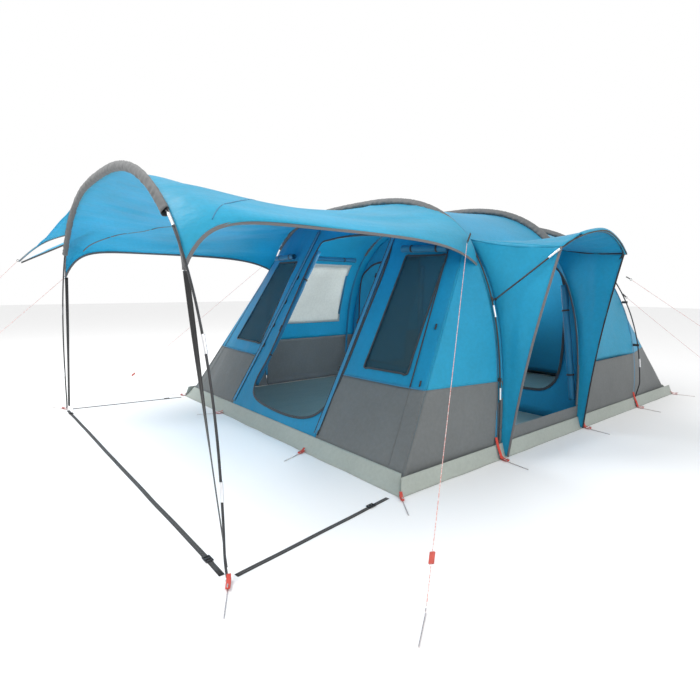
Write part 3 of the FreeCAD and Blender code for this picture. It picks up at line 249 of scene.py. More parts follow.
def tape_cloth(name, colour, kind="webbing"):
    """Woven tape, its length along U in metres: ribs, and stitching or a zip's coil."""
    m = Nodes(name)
    where = m.coordinates("UV")
    m.link(m.ramp(m.noise(where, 60.0, 4.0), [(0.3, shade(colour, 0.8)), (0.7, shade(colour, 1.25))]),
           m.shader.inputs["Base Color"])
    m.shader.inputs["Roughness"].default_value = 0.75
    m.shader.inputs["Sheen Weight"].default_value = 0.2
    ribs = m.wave(where, {"webbing": 120.0, "hem": 90.0, "zip": 60.0}[kind], "X")
    normal = m.bump(ribs, {"webbing": 0.5, "hem": 0.25, "zip": 0.8}[kind], 0.0012)
    across = m.wave(m.coordinates("UV", (0.0, 1.0, 0.0)), 0.9 if kind == "zip" else 0.62, "Y")
    m.link(m.bump(across, 0.5, 0.002, normal), m.shader.inputs["Normal"])
    return m.material


def moulded(name, colour, rough):
    m = Nodes(name)
    where = m.coordinates()
    m.link(m.ramp(m.noise(where, 30.0), [(0.3, shade(colour, 0.85)), (0.7, shade(colour, 1.2))]),
           m.shader.inputs["Base Color"])
    m.shader.inputs["Roughness"].default_value = rough
    m.link(m.bump(m.noise(where, 900.0, 2.0), 0.15, 0.0004), m.shader.inputs["Normal"])
    return m.material


def wrapped_fibre(name):
    """Glass fibre rod: black resin over a fine spiral wrap."""
    m = Nodes(name)
    where = m.coordinates()
    m.link(m.ramp(m.noise(where, 22.0), [(0.3, (0.012, 0.013, 0.015)), (0.75, (0.035, 0.037, 0.042))]),
           m.shader.inputs["Base Color"])
    m.shader.inputs["Roughness"].default_value = 0.38
    m.link(m.bump(m.wave(where, 70.0, "DIAGONAL"), 0.25, 0.0004), m.shader.inputs["Normal"])
    return m.material


def bare_metal(name, colour, rough):
    m = Nodes(name)
    where = m.coordinates(scale=(1.0, 1.0, 0.08))
    m.link(m.ramp(m.noise(where, 120.0), [(0.35, shade(colour, 0.8)), (0.65, shade(colour, 1.1))]),
           m.shader.inputs["Base Color"])
    m.shader.inputs["Metallic"].default_value = 1.0
    m.shader.inputs["Roughness"].default_value = rough
    m.link(m.bump(m.noise(where, 260.0), 0.2, 0.0003), m.shader.inputs["Normal"])
    return m.material


def twisted_rope(name, colour, fleck):
    m = Nodes(name)
    where = m.coordinates()
    m.link(m.ramp(m.noise(where, 160.0, 2.0), [(0.46, colour), (0.56, fleck)]),
           m.shader.inputs["Base Color"])
    m.shader.inputs["Roughness"].default_value = 0.7
    m.shader.inputs["Sheen Weight"].default_value = 0.3
    m.link(m.bump(m.wave(where, 220.0, "DIAGONAL"), 0.6, 0.0006), m.shader.inputs["Normal"])
    return m.material


def net_cloth(name, colour, alpha):
    m = Nodes(name)
    where = m.coordinates()
    threads = m.maths("ADD", m.wave(where, 95.0, "Z"), m.wave(where, 95.0, "X"))
    m.link(m.ramp(threads, [(0.3, shade(colour, 0.7)), (1.0, shade(colour, 1.3))]),
           m.shader.inputs["Base Color"])
    m.shader.inputs["Roughness"].default_value = 0.85
    m.shader.inputs["Alpha"].default_value = alpha
    m.link(m.bump(threads, 0.5, 0.0008), m.shader.inputs["Normal"])
    return m.material


SKY = coated_cloth("sky_fabric", (0.022, 0.430, 0.660), 0.40, 0.46, creased=0.42)
# Canopy cloth: the sky fabric painted lighter, painted light where the top of the canopy is lit.
CANOPY_PAINTED_LIGHT = coated_cloth("canopy_fabric_painted_light", (0.045, 0.520, 0.740), 0.45, 0.42,
                      grain=(1.0, 0.13, 1.0), creased=0.75)
# Front wall cloth: the sky fabric painted darker, painted shade from the canopy over the front walls.
PANEL_PAINTED_SHADE = coated_cloth("panel_fabric_painted_shade", (0.012, 0.350, 0.600), 0.38, 0.52)
ROLL = coated_cloth("rolled_fabric", (0.008, 0.160, 0.310), 0.10, 0.52)
GREY = coated_cloth("grey_fabric", (0.215, 0.230, 0.232), 0.35, 0.62)
SLEEVE = coated_cloth("sleeve_fabric", (0.135, 0.140, 0.142), 0.10, 0.68)
PALE = coated_cloth("flap_fabric", (0.40, 0.44, 0.40), 0.15, 0.55)
FLOOR = coated_cloth("floor_fabric", (0.105, 0.190, 0.195), 0.0, 0.42)
INNER = coated_cloth("inner_fabric", (0.020, 0.36, 0.60), 0.42, 0.7)
NET = net_cloth("window_net", (0.012, 0.050, 0.070), 0.72)
FILM = coated_cloth("window_film", (0.80, 0.83, 0.80), 0.45, 0.30, 0.2, 0.82)
HEM_GREY = tape_cloth("grey_hem", (0.13, 0.13, 0.135), "hem")
HEM_BLUE = tape_cloth("blue_hem", (0.012, 0.20, 0.37), "hem")
ZIP = tape_cloth("zip_tape", (0.018, 0.026, 0.034), "zip")
WEBBING = tape_cloth("black_webbing", (0.012, 0.012, 0.013))
RED_WEB = tape_cloth("red_webbing", (0.55, 0.05, 0.03))
FIBRE = wrapped_fibre("fibre_rod")
SILVER = bare_metal("ferrule_metal", (0.80, 0.81, 0.83), 0.28)
STEEL = bare_metal("peg_metal", (0.72, 0.66, 0.65), 0.35)
BLACK_PLASTIC = moulded("black_plastic", (0.02, 0.02, 0.022), 0.5)
RED_PLASTIC = moulded("red_plastic", (0.45, 0.06, 0.04), 0.45)
ROPE = twisted_rope("guy_rope", (0.72, 0.62, 0.60), (0.62, 0.16, 0.12))


# ---------------------------------------------------------------- meshes
def link_mesh(name, mesh):
    obj = bpy.data.objects.new(name, mesh)
    bpy.context.scene.collection.objects.link(obj)
    return obj


def surface(name, rows, inside):
    """A smooth sheet through rows of points, its faces turned away from the point inside."""
    width = len(rows[0])
    faces = []
    for j in range(len(rows) - 1):
        for i in range(width - 1):
            a = j * width + i
            faces.append((a, a + 1, a + width + 1, a + width))
    mesh = bpy.data.meshes.new(name)
    mesh.from_pydata([p for row in rows for p in row], [], faces)
    mesh.update()
    away = sum((f.center - inside).dot(f.normal) * f.area for f in mesh.polygons)
    if away < 0:
        mesh.flip_normals()
        mesh.update()
    mesh.shade_smooth()
    obj = link_mesh(name, mesh)
    longest = max(sum((b - a).length for a, b in zip(row, row[1:])) for row in rows)
    columns = list(zip(*rows))
    tallest = max(sum((b - a).length for a, b in zip(c, c[1:])) for c in columns)
    obj["flat"] = (longest, tallest)
    return obj


def crumple(obj, height):
    """Moves each point along its normal by height(point), in metres."""
    mesh = obj.data
    normals = [Vector(v.normal) for v in mesh.vertices]
    for vertex, normal in zip(mesh.vertices, normals):
        vertex.co = vertex.co + normal * height(vertex.co)
    mesh.update()
    return obj


def folds(point, scale, amount):
    """Soft folds, long where scale is small along an axis."""
    return amount * noise.noise(Vector(a * b for a, b in zip(point, scale)))


def applied(obj):
    """The object's mesh with its modifiers made real."""
    graph = bpy.context.evaluated_depsgraph_get()
    mesh = bpy.data.meshes.new_from_object(obj.evaluated_get(graph))
    obj.modifiers.clear()
    obj.data = mesh
    return obj


def thicken(obj, thick=CLOTH_THICK):
    solid = obj.modifiers.new("thickness", "SOLIDIFY")
    solid.thickness, solid.offset = thick, -1.0
    return applied(obj)


def prism(outline, along):
    """A closed solid: the outline pushed along a vector."""
    mesh = bpy.data.meshes.new("cutter")
    count = len(outline)
    points = [p for p in outline] + [p + along for p in outline]
    faces = [tuple(reversed(range(count))), tuple(range(count, 2 * count))]
    faces += [(i, (i + 1) % count, count + (i + 1) % count, count + i) for i in range(count)]
    mesh.from_pydata(points, [], faces)
    shape = bmesh.new()
    shape.from_mesh(mesh)
    bmesh.ops.recalc_face_normals(shape, faces=shape.faces)
    shape.to_mesh(mesh)
    shape.free()
    return link_mesh("cutter", mesh)


def cut(obj, outline, along):
    cutter = prism(outline, along)
    hole = obj.modifiers.new("opening", "BOOLEAN")
    hole.operation, hole.solver, hole.object = "DIFFERENCE", "EXACT", cutter
    applied(obj)
    bpy.data.objects.remove(cutter)
    return obj


def rounded(corners, steps=6, closed=True):
    """A smooth line through points."""
    count = len(corners)
    line = []
    for i in range(count if closed else count - 1):
        if closed:
            p0, p1, p2, p3 = (corners[(i + k) % count] for k in (-1, 0, 1, 2))
        else:
            p0, p3 = corners[max(0, i - 1)], corners[min(count - 1, i + 2)]
            p1, p2 = corners[i], corners[i + 1]
        for j in range(steps):
            t = j / steps
            line.append(0.5 * (2 * p1 + (p2 - p0) * t + (2 * p0 - 5 * p1 + 4 * p2 - p3) * t * t
                               + (3 * p1 - p0 - 3 * p2 + p3) * t ** 3))
    if not closed:
        line.append(corners[-1])
    return line


def tape(name, points, normals, width, thick, closed=False):
    """A flat tape with softly rounded edges along points; UV U is its length in metres, V its width."""
    profile = [(-0.5, 0.0), (-0.47, 0.42), (-0.38, 0.5), (0.38, 0.5), (0.47, 0.42), (0.5, 0.0),
               (0.47, -0.42), (0.38, -0.5), (-0.38, -0.5), (-0.47, -0.42)]
    count, ring = len(points), len(profile)
    verts, lengths, travelled = [], [], 0.0
    for i, (p, n) in enumerate(zip(points, normals)):
        before = points[i - 1] if i or closed else p
        after = points[(i + 1) % count] if i < count - 1 or closed else p
        along = (after - before).normalized()
        across = n.cross(along).normalized()
        lift = along.cross(across)
        verts += [p + across * (a * width) + lift * (b * thick) for a, b in profile]
        lengths.append(travelled)
        travelled += (points[(i + 1) % count] - p).length
    lengths.append(travelled)
    faces, spans = [], []
    for i in range(count if closed else count - 1):
        for k in range(ring):
            j, m = (i + 1) % count, (k + 1) % ring
            faces.append((i * ring + k, i * ring + m, j * ring + m, j * ring + k))
            spans.append((i, k))
    if not closed:
        faces += [tuple(reversed(range(ring))), tuple(range((count - 1) * ring, count * ring))]
        spans += [(0, 0), (count - 1, 0)]
    mesh = bpy.data.meshes.new(name)
    mesh.from_pydata(verts, [], faces)
    layer = mesh.uv_layers.new(name="tape")
    for face, (i, k) in zip(mesh.polygons, spans):
        for corner in face.loop_indices:
            at = mesh.loops[corner].vertex_index
            end = lengths[i + 1] if at // ring != i else lengths[i]
            layer.data[corner].uv = (end, profile[at % ring][0] + 0.5)
    shape = bmesh.new()
    shape.from_mesh(mesh)
    bmesh.ops.recalc_face_normals(shape, faces=shape.faces)
    shape.to_mesh(mesh)
    shape.free()
    mesh.shade_smooth()
    return link_mesh(name, mesh)


def joined(name, parts):
    """One object made of several."""
    shape = bmesh.new()
    for part in parts:
        shape.from_mesh(part.data)
    mesh = bpy.data.meshes.new(name)
    shape.to_mesh(mesh)
    shape.free()
    mesh.shade_smooth()
    cuts = [tuple(part["flat"]) for part in parts if "flat" in part]
    for part in parts:
        bpy.data.objects.remove(part)
    obj = link_mesh(name, mesh)
    if cuts:
        obj["flat"] = (sum(wide for wide, _ in cuts), max(tall for _, tall in cuts))
    return obj


def dress(obj, material, body="tent"):
    obj.data.materials.clear()
    obj.data.materials.append(material)
    if isinstance(body, str):
        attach(obj, body)
    else:
        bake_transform(obj)
    return obj


def cloth_piece(obj, material, nodes=(), body="tent"):
    """Finishes a sheet of cloth: material, body and the CAD solids it stands for; it works out a flat size
    but doesn't keep it.

    The length is limited to twice the area over the width, and where that limit applies it isn't a real
    dimension.
    """
    dress(obj, material, body)
    if nodes:
        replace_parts(obj, *nodes)
    wide, tall = obj["flat"]
    covered = sum(f.area for f in obj.data.polygons) / 2.0
    tall = min(tall, 2.0 * covered / wide)
    return obj


# ---------------------------------------------------------------- outlines of the tent
class Hoop:
    """One bent pole: nearly upright legs under a flattened arch."""

    def __init__(self, y, foot, belly, height, side, crown, knee=0.1):
        self.y, self.foot, self.belly, self.height = y, foot, belly, height
        self.side, self.crown, self.knee = side, crown, knee

    def inset(self, gap):
        return Hoop(self.y, self.foot - gap, self.belly - gap, self.height - gap, self.side, self.crown)

    def at(self, y):
        return Hoop(y, self.foot, self.belly, self.height, self.side, self.crown)

    def half_width(self, z):
        if z <= self.knee:
            return self.foot + (self.belly - self.foot) * math.sin(z / self.knee * math.pi / 2)
        rise = min(1.0, (z - self.knee) / (self.height - self.knee))
        return self.belly * (1.0 - rise ** self.crown) ** (1.0 / self.side)

    def top(self, x):
        spread = min(1.0, abs(x) / self.belly)
        return self.knee + (self.height - self.knee) * (1.0 - spread ** self.side) ** (1.0 / self.crown)

    def line(self, near_z, far_z, steps):
        """Evenly spaced points from the near side, over the crown, to the far side."""
        def start(z):
            rise = (z - self.knee) / (self.height - self.knee)
            return math.asin(rise ** (self.crown / 2.0))

        low, high = start(near_z), math.pi - start(far_z)
        fine = []
        for i in range(481):
            turn = lerp(low, high, i / 480.0)
            x = self.belly * abs(math.cos(turn)) ** (2.0 / self.side)
            z = self.knee + (self.height - self.knee) * math.sin(turn) ** (2.0 / self.crown)
            fine.append(vec(math.copysign(x, math.cos(turn)), self.y, z))
        return even(fine, steps)


def even(points, steps):
    """The same line with points evenly spaced along it."""
    reach = [0.0]
    for a, b in zip(points, points[1:]):
        reach.append(reach[-1] + (b - a).length)
    result, at = [], 0
    for i in range(steps + 1):
        want = reach[-1] * i / steps
        while at < len(points) - 2 and reach[at + 1] < want:
            at += 1
        span = reach[at + 1] - reach[at]
        result.append(lerp(points[at], points[at + 1], (want - reach[at]) / span if span else 0.0))
    return result


def between(a, b, share, y):
    return Hoop(y, *(lerp(getattr(a, k), getattr(b, k), share)
                     for k in ("foot", "belly", "height", "side", "crown")))


canopy_hoop = Hoop(CANOPY_Y, CANOPY_FOOT, 1.683, CANOPY_HEIGHT, 2.65, 2.26)
one = Hoop(ONE_Y, BASE + 0.005, 1.575, ONE_HEIGHT, 3.1, 2.86)
two = Hoop(TWO_Y, BASE + 0.005, 1.577, 1.915, 2.9, 2.86)
three = Hoop(THREE_Y, BASE + 0.005, 1.612, 1.855, 2.25, 2.24)
one_skin, two_skin = one.inset(SKIN_GAP), two.inset(SKIN_GAP)
three_skin = Hoop(THREE_Y, BASE - 0.012, 1.562, 1.855 - SKIN_GAP, 2.28, 2.26)
MIDDLE = vec(0, 0.4, 0.7)
ROOF_DROP = 0.022           # how much further the roof cloth hangs under the crown of a hoop


def hung(skin):
    """The roof cloth's outline where its sleeve hangs it from a hoop."""
    return Hoop(skin.y, skin.foot, skin.belly, skin.height - ROOF_DROP, skin.side, skin.crown)


roof_one, roof_two, roof_three = hung(one_skin), hung(two_skin), hung(three_skin)


class EndWall:
    """A wall of straight lines from a foot line on the ground up to a hoop."""

    def __init__(self, foot_y, hoop, shoulder, base=BASE):
        self.foot_y, self.hoop, self.shoulder, self.base = foot_y, hoop, shoulder, base
        self.inward = 1.0 if hoop.y > foot_y else -1.0

    def point(self, s, z, depth=0.0):
        """s runs from -1 to 1 across the wall, z is the height, depth goes into the tent."""
        top_z = self.hoop.top(self.shoulder * s)
        share = z / top_z
        x = lerp(self.base * s, self.shoulder * s, share)
        y = lerp(self.foot_y, self.hoop.y, share)
        slope = math.atan2(top_z, abs(self.hoop.y - self.foot_y))
        return vec(x, y + self.inward * depth * math.sin(slope), z - depth * math.cos(slope))

    def normal(self, s, z):
        across = self.point(s + 0.01, z) - self.point(s - 0.01, z)
        up = self.point(s, z + 0.01) - self.point(s, z - 0.01)
        out = across.cross(up).normalized()
        return out if out.y * self.inward < 0 else -out

    def top(self, s):
        return self.hoop.top(self.shoulder * s)

    def patch(self, name, left, right, low, high, columns, rows):
        grid = []
        for j in range(rows + 1):
            share = j / rows
            across = [lerp(left(share), right(share), i / columns) for i in range(columns + 1)]
            grid.append([self.point(s, lerp(low(s), high(s), share)) for s in across])
        return surface(name, grid, MIDDLE)

    def path(self, corners, depth=0.0, steps=6, closed=True):
        """A smooth line on the wall through (s, z) corners, and the wall's normals along it."""
        flat = rounded([Vector((s, z)) for s, z in corners], steps, closed)
        return [self.point(s, z, depth) for s, z in flat], [self.normal(s, z) for s, z in flat]

    def opening(self, obj, corners, steps=6):
        points, _ = self.path(corners, 0.0, steps)
        start = [vec(p.x, self.foot_y - 0.5 * self.inward, p.z) for p in points]
        return cut(obj, start, vec(0, self.inward * 2.2, 0))


front = EndWall(FRONT_Y, one_skin.at(ONE_Y - 0.003), SHOULDER)
rear = EndWall(REAR_Y, three_skin.at(THREE_Y + 0.003), REAR_SHOULDER)


def constant(value):
    return lambda _: value


def bay(name, a, y0, b, y1, near_z, far_z, waist=0.014):
    """Roof cloth between two hoops: a little slack halfway, gathered where it meets the sleeves."""
    rows = []
    for j in range(49):
        share = j / 48.0
        hoop = between(a, b, share, lerp(y0, y1, share)).inset(waist * math.sin(math.pi * share))
        rows.append(hoop.line(near_z, far_z, 170))
    roof = surface(name, rows, MIDDLE)

    def height(p):
        arc = math.atan2(p.z - 0.6, p.x)
        edge = min(abs(p.y - y0), abs(p.y - y1))
        gather = 0.0045 * math.exp(-edge / 0.10) * noise.noise(vec(arc * 26.0, p.y * 3.0, 1.0))
        long_folds = 0.0055 * noise.noise(vec(arc * 7.0, p.y * 1.3, 4.0))
        slack = 0.004 * noise.noise(p * 2.6)
        return (gather + long_folds + slack - 0.002) * smooth(edge / 0.03 + 0.35)

    return crumple(roof, height)


# ---------------------------------------------------------------- flysheet
def side_opening(y_low, y_high, z_low, z_high, corner, x):
    """The outline of a tall opening with rounded top corners, in a plane across X."""
    def bend(y, z, start):
        return [vec(x, y + corner * math.cos(start + k * math.pi / 16),
                    z + corner * math.sin(start + k * math.pi / 16)) for k in range(9)]

    return ([vec(x, y_high, z_low)] + bend(y_high - corner, z_high - corner, 0.0)
            + bend(y_low + corner, z_high - corner, math.pi / 2) + [vec(x, y_low, z_low)])


def living_x(y, z, gap=0.0):
    """The half width of the living bay's cloth at a place along the tent."""
    share = (y - ONE_Y) / (TWO_Y - ONE_Y)
    hoop = between(roof_one, roof_two, share, y).inset(0.014 * math.sin(math.pi * share) + gap)
    return hoop.half_width(z)


def on_side(outline, sign, gap=-0.0015):
    """Lays an outline given in Y and Z on the living bay's side, with its normals."""
    points = [vec(sign * living_x(p.y, p.z, gap), p.y, p.z) for p in outline]
    normals = []
    for p in points:
        rise = living_x(p.y, p.z - 0.01) - living_x(p.y, p.z + 0.01)
        normals.append(vec(sign, 0, rise / 0.02).normalized())
    return points, normals


def living_bay():
    roof = bay("living_roof_cloth", roof_one, ONE_Y + 0.004, roof_two, TWO_Y - 0.002, DOOR_LOW + 0.004, SEAM)
    thicken(roof)
    door = side_opening(DOOR_FRONT, DOOR_BACK, 0.0, DOOR_TOP, 0.26, 0.9)
    window = side_opening(WINDOW_FRONT, WINDOW_BACK, WINDOW_LOW, WINDOW_TOP, 0.05, -1.8)
    cut(roof, door, vec(0.9, 0, 0))
    cut(roof, window, vec(0.7, 0, 0))
    cloth_piece(roof, SKY, ["living_roof"])
    frame_line = side_opening(DOOR_FRONT, DOOR_BACK, DOOR_LOW + 0.01, DOOR_TOP, 0.26, 0.0)
    points, normals = on_side(even([p for p in frame_line], 70), 1)
    dress(tape("side_door_zip", points, normals, 0.026, 0.003), ZIP)
    frame_line = side_opening(WINDOW_FRONT, WINDOW_BACK, WINDOW_LOW, WINDOW_TOP, 0.05, 0.0)
    points, normals = on_side(frame_line + [frame_line[0]], -1)
    dress(tape("side_window_frame", points, normals, 0.03, 0.003), HEM_BLUE)


def hoop_seams():
    """Taped seams where the cloths of two bays meet under a hoop."""
    for word, roof in (("one", roof_one), ("two", roof_two), ("three", roof_three)):
        line = roof.inset(0.003).line(0.12, 0.12, 150)
        normals = [(p - vec(0, p.y, 0.6)).normalized() for p in line]
        dress(tape(f"hoop_seam_{word}", line, normals, 0.030, 0.004), HEM_BLUE)


def bedroom_bay():
    roof = bay("bedroom_roof_cloth", roof_two, TWO_Y + 0.002, roof_three, THREE_Y - 0.002, SEAM, SEAM)
    thicken(roof)
    cloth_piece(roof, SKY, ["bedroom_roof"])


def door_left(share):
    return lerp(-0.42, -0.26, share)


def door_right(share):
    return lerp(0.43, 0.54, share)


def door_line(side_line, z):
    return side_line((z - BAND_LOW) / (front.top(0.0) - BAND_LOW))


FRONT_DOOR = [(-0.215, 1.440), (-0.235, 0.600), (-0.262, 0.330), (-0.2, 0.205), (0.02, 0.165),
              (0.26, 0.175), (0.4, 0.250), (0.468, 0.420), (0.5, 0.800), (0.53, 1.440),
              (0.4, 1.560), (-0.08, 1.570)]
NEAR_WINDOW = [(0.61, 0.604), (0.88, 0.604), (0.915, 1.378), (0.66, 1.381)]
FAR_WINDOW = [(-0.77, 0.633), (-0.409, 0.632), (-0.401, 1.385), (-0.705, 1.388)]
GAP_S = 0.001


def dense(corners, count=8):
    """A polygon's corners kept nearly sharp by points beside them."""
    line = []
    for a, b in zip(corners, corners[1:] + corners[:1]):
        line += [tuple(lerp(p, q, i / count) for p, q in zip(a, b)) for i in range(count)]
    return line


def wall_folds(p):
    return (folds(p, (6.0, 1.6, 1.3), 0.006) + folds(p, (17.0, 5.0, 3.0), 0.0022)
            + folds(p + vec(3, 0, 0), (2.2, 2.2, 2.2), 0.004))


def front_walls():
    def upper(side_line, sign):
        return lambda share: door_line(side_line, lerp(SEAM, front.top(0.4), share)) + sign * GAP_S

    def lower(side_line, sign):
        return lambda share: door_line(side_line, lerp(BAND_LOW, SEAM, share)) + sign * GAP_S

    def wall_top(s):
        return front.top(s) - 0.010

    low, seam, edge = constant(BAND_LOW), constant(SEAM), constant(0.997)
    # The front walls use the darker panel cloth: painted shade under the canopy.
    door = front.patch("front_door_cloth", door_left, door_right, low, wall_top, 60, 80)
    thicken(crumple(door, wall_folds))
    front.opening(door, FRONT_DOOR)
    cloth_piece(door, PANEL_PAINTED_SHADE, ["front_door_panel"])
    near = front.patch("front_near_cloth", upper(door_right, 1), edge, seam, wall_top, 40, 60)
    thicken(crumple(near, wall_folds))
    front.opening(near, dense(NEAR_WINDOW), 2)
    cloth_piece(near, PANEL_PAINTED_SHADE, ["front_near_panel"])
    far = front.patch("front_far_cloth", constant(-0.997), upper(door_left, -1), seam, wall_top, 40, 60)
    thicken(crumple(far, wall_folds))
    front.opening(far, dense(FAR_WINDOW), 2)
    cloth_piece(far, PANEL_PAINTED_SHADE, ["front_far_panel"])
    bands = []
    for name, left, right in (("near", lower(door_right, 1), edge),
                              ("far", constant(-0.997), lower(door_left, -1))):
        bands.append(thicken(crumple(front.patch(name, left, right, low, seam, 40, 24), wall_folds)))
    cloth_piece(joined("front_band_cloth", bands), GREY,
                ["front_bands"])
    front_trims()


def wall_tape(name, corners, depth, width, thick, material):
    """A tape laid on the front wall along (s, z) corners."""
    points, normals = front.path(corners, depth, 1, False)
    dress(tape(name, points, normals, width, thick), material)


def upright(s, low, high, count=30):
    return [(s, lerp(low, high, i / count)) for i in range(count + 1)]


def front_trims():
    """Zips, window bindings, seams and the folded columns that hold the panels together."""
    points, normals = front.path(FRONT_DOOR, -0.003)
    dress(tape("front_door_zip", points, normals, 0.020, 0.004, True), ZIP)
    for name, outline in (("near", NEAR_WINDOW), ("far", FAR_WINDOW)):
        points, normals = front.path(dense(outline), -0.002, 2)
        dress(tape(f"{name}_window_binding", points, normals, 0.013, 0.003, True), ZIP)
    for name, line in (("near", door_right), ("far", door_left)):
        middle = [(door_line(line, z), z) for _, z in upright(0.0, 0.12, 1.66, 40)]
        wall_tape(f"{name}_column", middle, -0.004, 0.040, 0.005, HEM_BLUE)
        for side, offset in (("left", -0.0145), ("right", 0.0145)):
            seam = [(s + offset, z) for s, z in middle]
            wall_tape(f"{name}_column_seam_{side}", seam, -0.007, 0.005, 0.003, ZIP)
    for name, left, right in (("near", 0.455, 0.997), ("far", -0.997, -0.40)):
        corners = [(lerp(left, right, i / 12.0), SEAM) for i in range(13)]
        wall_tape(f"front_seam_{name}", corners, -0.003, 0.008, 0.003, HEM_BLUE)
    for sign, word in ((1, "near"), (-1, "far")):
        wall_tape(f"front_line_{word}", upright(sign * 0.915, SEAM, 1.46), -0.003, 0.009, 0.003, ZIP)
        wall_tape(f"front_low_seam_{word}", upright(sign * 0.915, 0.11, SEAM), -0.001, 0.006, 0.002, GREY)
        wall_tape(f"front_corner_low_{word}", upright(sign * 0.996, 0.03, SEAM), -0.001, 0.008, 0.003, GREY)
        wall_tape(f"front_corner_high_{word}", upright(sign * 0.996, SEAM, front.top(1.0) - 0.03), -0.001,
                  0.008, 0.003, SKY)


def corner_wall(name, wall, sign, low, high):
    """The three-cornered side wall between an end wall's edge and its hoop's leg."""
    rows = []
    for j in range(41):
        z = lerp(low, high, j / 40.0)
        edge = wall.point(sign, z)
        leg = vec(sign * wall.hoop.half_width(z), wall.hoop.y, z)
        rows.append([lerp(edge, leg, i / 24.0) for i in range(25)])
    side = surface(name, rows, MIDDLE)
    return thicken(crumple(side, lambda p: 0.6 * wall_folds(p)))


def side_band(name, a, y0, b, y1, low, high, sign):
    rows = []
    for j in range(17):
        z = lerp(low, high, j / 16.0)
        rows.append([vec(sign * between(a, b, i / 40.0, 0).half_width(z), lerp(y0, y1, i / 40.0), z)
                     for i in range(41)])
    return thicken(crumple(surface(name, rows, MIDDLE), lambda p: folds(p, (2, 5, 2), 0.004)))


def side_walls():
    for sign, word in ((1, "near"), (-1, "far")):
        living_top = SEAM if sign < 0 else DOOR_LOW
        bands = [corner_wall("a", front, sign, BAND_LOW, SEAM),
                 side_band("b", one_skin, ONE_Y + 0.002, two_skin, TWO_Y - 0.001, BAND_LOW, living_top, sign),
                 side_band("c", two_skin, TWO_Y + 0.001, three_skin, THREE_Y - 0.002, BAND_LOW, SEAM, sign),
                 corner_wall("d", rear, sign, BAND_LOW, SEAM)]
        if sign > 0:
            bands += [side_band("e", one_skin, ONE_Y + 0.002, one_skin, DOOR_FRONT, DOOR_LOW, SEAM, sign),
                      side_band("f", two_skin, DOOR_BACK, two_skin, TWO_Y - 0.001, DOOR_LOW, SEAM, sign)]
        cloth_piece(joined(f"{word}_band_cloth", bands), GREY,
                    [f"{word}_bands"])
    for name, wall, nodes, low in (("porch_side", front, "porch_sides", SEAM),
                                   ("rear_side", rear, "rear_sides", SEAM)):
        parts = [corner_wall("side", wall, sign, low, wall.top(1.0) - 0.012) for sign in SIDES]
        cloth_piece(joined(f"{name}_cloth", parts), SKY, [nodes])


def rear_walls():
    edge = constant(0.997)
    wall = rear.patch("rear_wall_cloth", constant(-0.997), edge, constant(SEAM),
                      lambda s: rear.top(s) - 0.010, 90, 60)
    thicken(crumple(wall, wall_folds))
    cloth_piece(wall, SKY, ["rear_wall"])
    band = rear.patch("rear_band_cloth", constant(-0.997), edge, constant(BAND_LOW), constant(SEAM), 90, 20)
    thicken(crumple(band, wall_folds))
    cloth_piece(band, GREY, ["rear_band"])
    points, normals = rear.path([(lerp(-0.99, 0.99, i / 24.0), SEAM) for i in range(25)], -0.003, 1, False)
    dress(tape("rear_seam", points, normals, 0.014, 0.003), HEM_GREY)


def mud_flaps():
    """Pale strips that lean on the foot of the walls, lie out on the ground and meet at the corners."""
    def strip(start, end, outward, lean, count, corners=(0.0, 0.0)):
        rows = []
        along = (end - start).normalized()
        for j in range(9):
            rise = 1.0 - j / 8.0
            reach = lerp(0.036, 0.007 - lean * FLAP, rise ** 0.7)
            low, high = start - along * (reach * corners[0]), end + along * (reach * corners[1])
            row = []
            for i in range(count + 1):
                p = lerp(low, high, i / count)
                middle = min(1.0, 6.0 * min(i, count - i) / count)
                wave = 0.007 * middle * noise.noise(vec(p.x * 5, p.y * 5, 2.0)) * (1.0 - rise)
                row.append(p + outward * (reach + wave) + UP * max(0.0016, FLAP * rise + wave * rise))
            rows.append(row)
        return thicken(surface("flap", rows, MIDDLE))

    parts = []
    for y, way, lean in ((FRONT_Y, -1, 0.4978), (REAR_Y, 1, 0.5175)):
        wide = BASE + 0.018
        parts.append(strip(vec(-wide, y, 0), vec(wide, y, 0), vec(0, way, 0), lean, 120, (1.0, 1.0)))
    runs = [(FRONT_Y, ONE_Y - 0.010, (1.0, 0.0)), (ONE_Y + 0.010, TWO_Y - 0.010, (0.0, 0.0)),
            (TWO_Y + 0.010, THREE_Y - 0.010, (0.0, 0.0)), (THREE_Y + 0.010, REAR_Y, (0.0, 1.0))]
    for sign in SIDES:
        x = sign * (BASE + 0.018)
        parts += [strip(vec(x, low, 0), vec(x, high, 0), vec(sign, 0, 0), 0.05, 40, corners)
                  for low, high, corners in runs]
    cloth_piece(joined("mud_flap_cloth", parts), PALE, ["mud_flaps"])


def groundsheet():
    rows = [[vec(x * (BASE - 0.02) / 60.0, lerp(FRONT_Y + 0.02, REAR_Y - 0.02, j / 80.0), 0.0026)
             for x in range(-60, 61)] for j in range(81)]
    cloth = surface("groundsheet_cloth", rows, vec(0, 0, -5))
    crumple(cloth, lambda p: max(-0.0005, folds(p, (5.0, 2.2, 1.0), 0.004)))
    thicken(cloth, 0.0008)
    cloth_piece(cloth, FLOOR, ["groundsheet"])


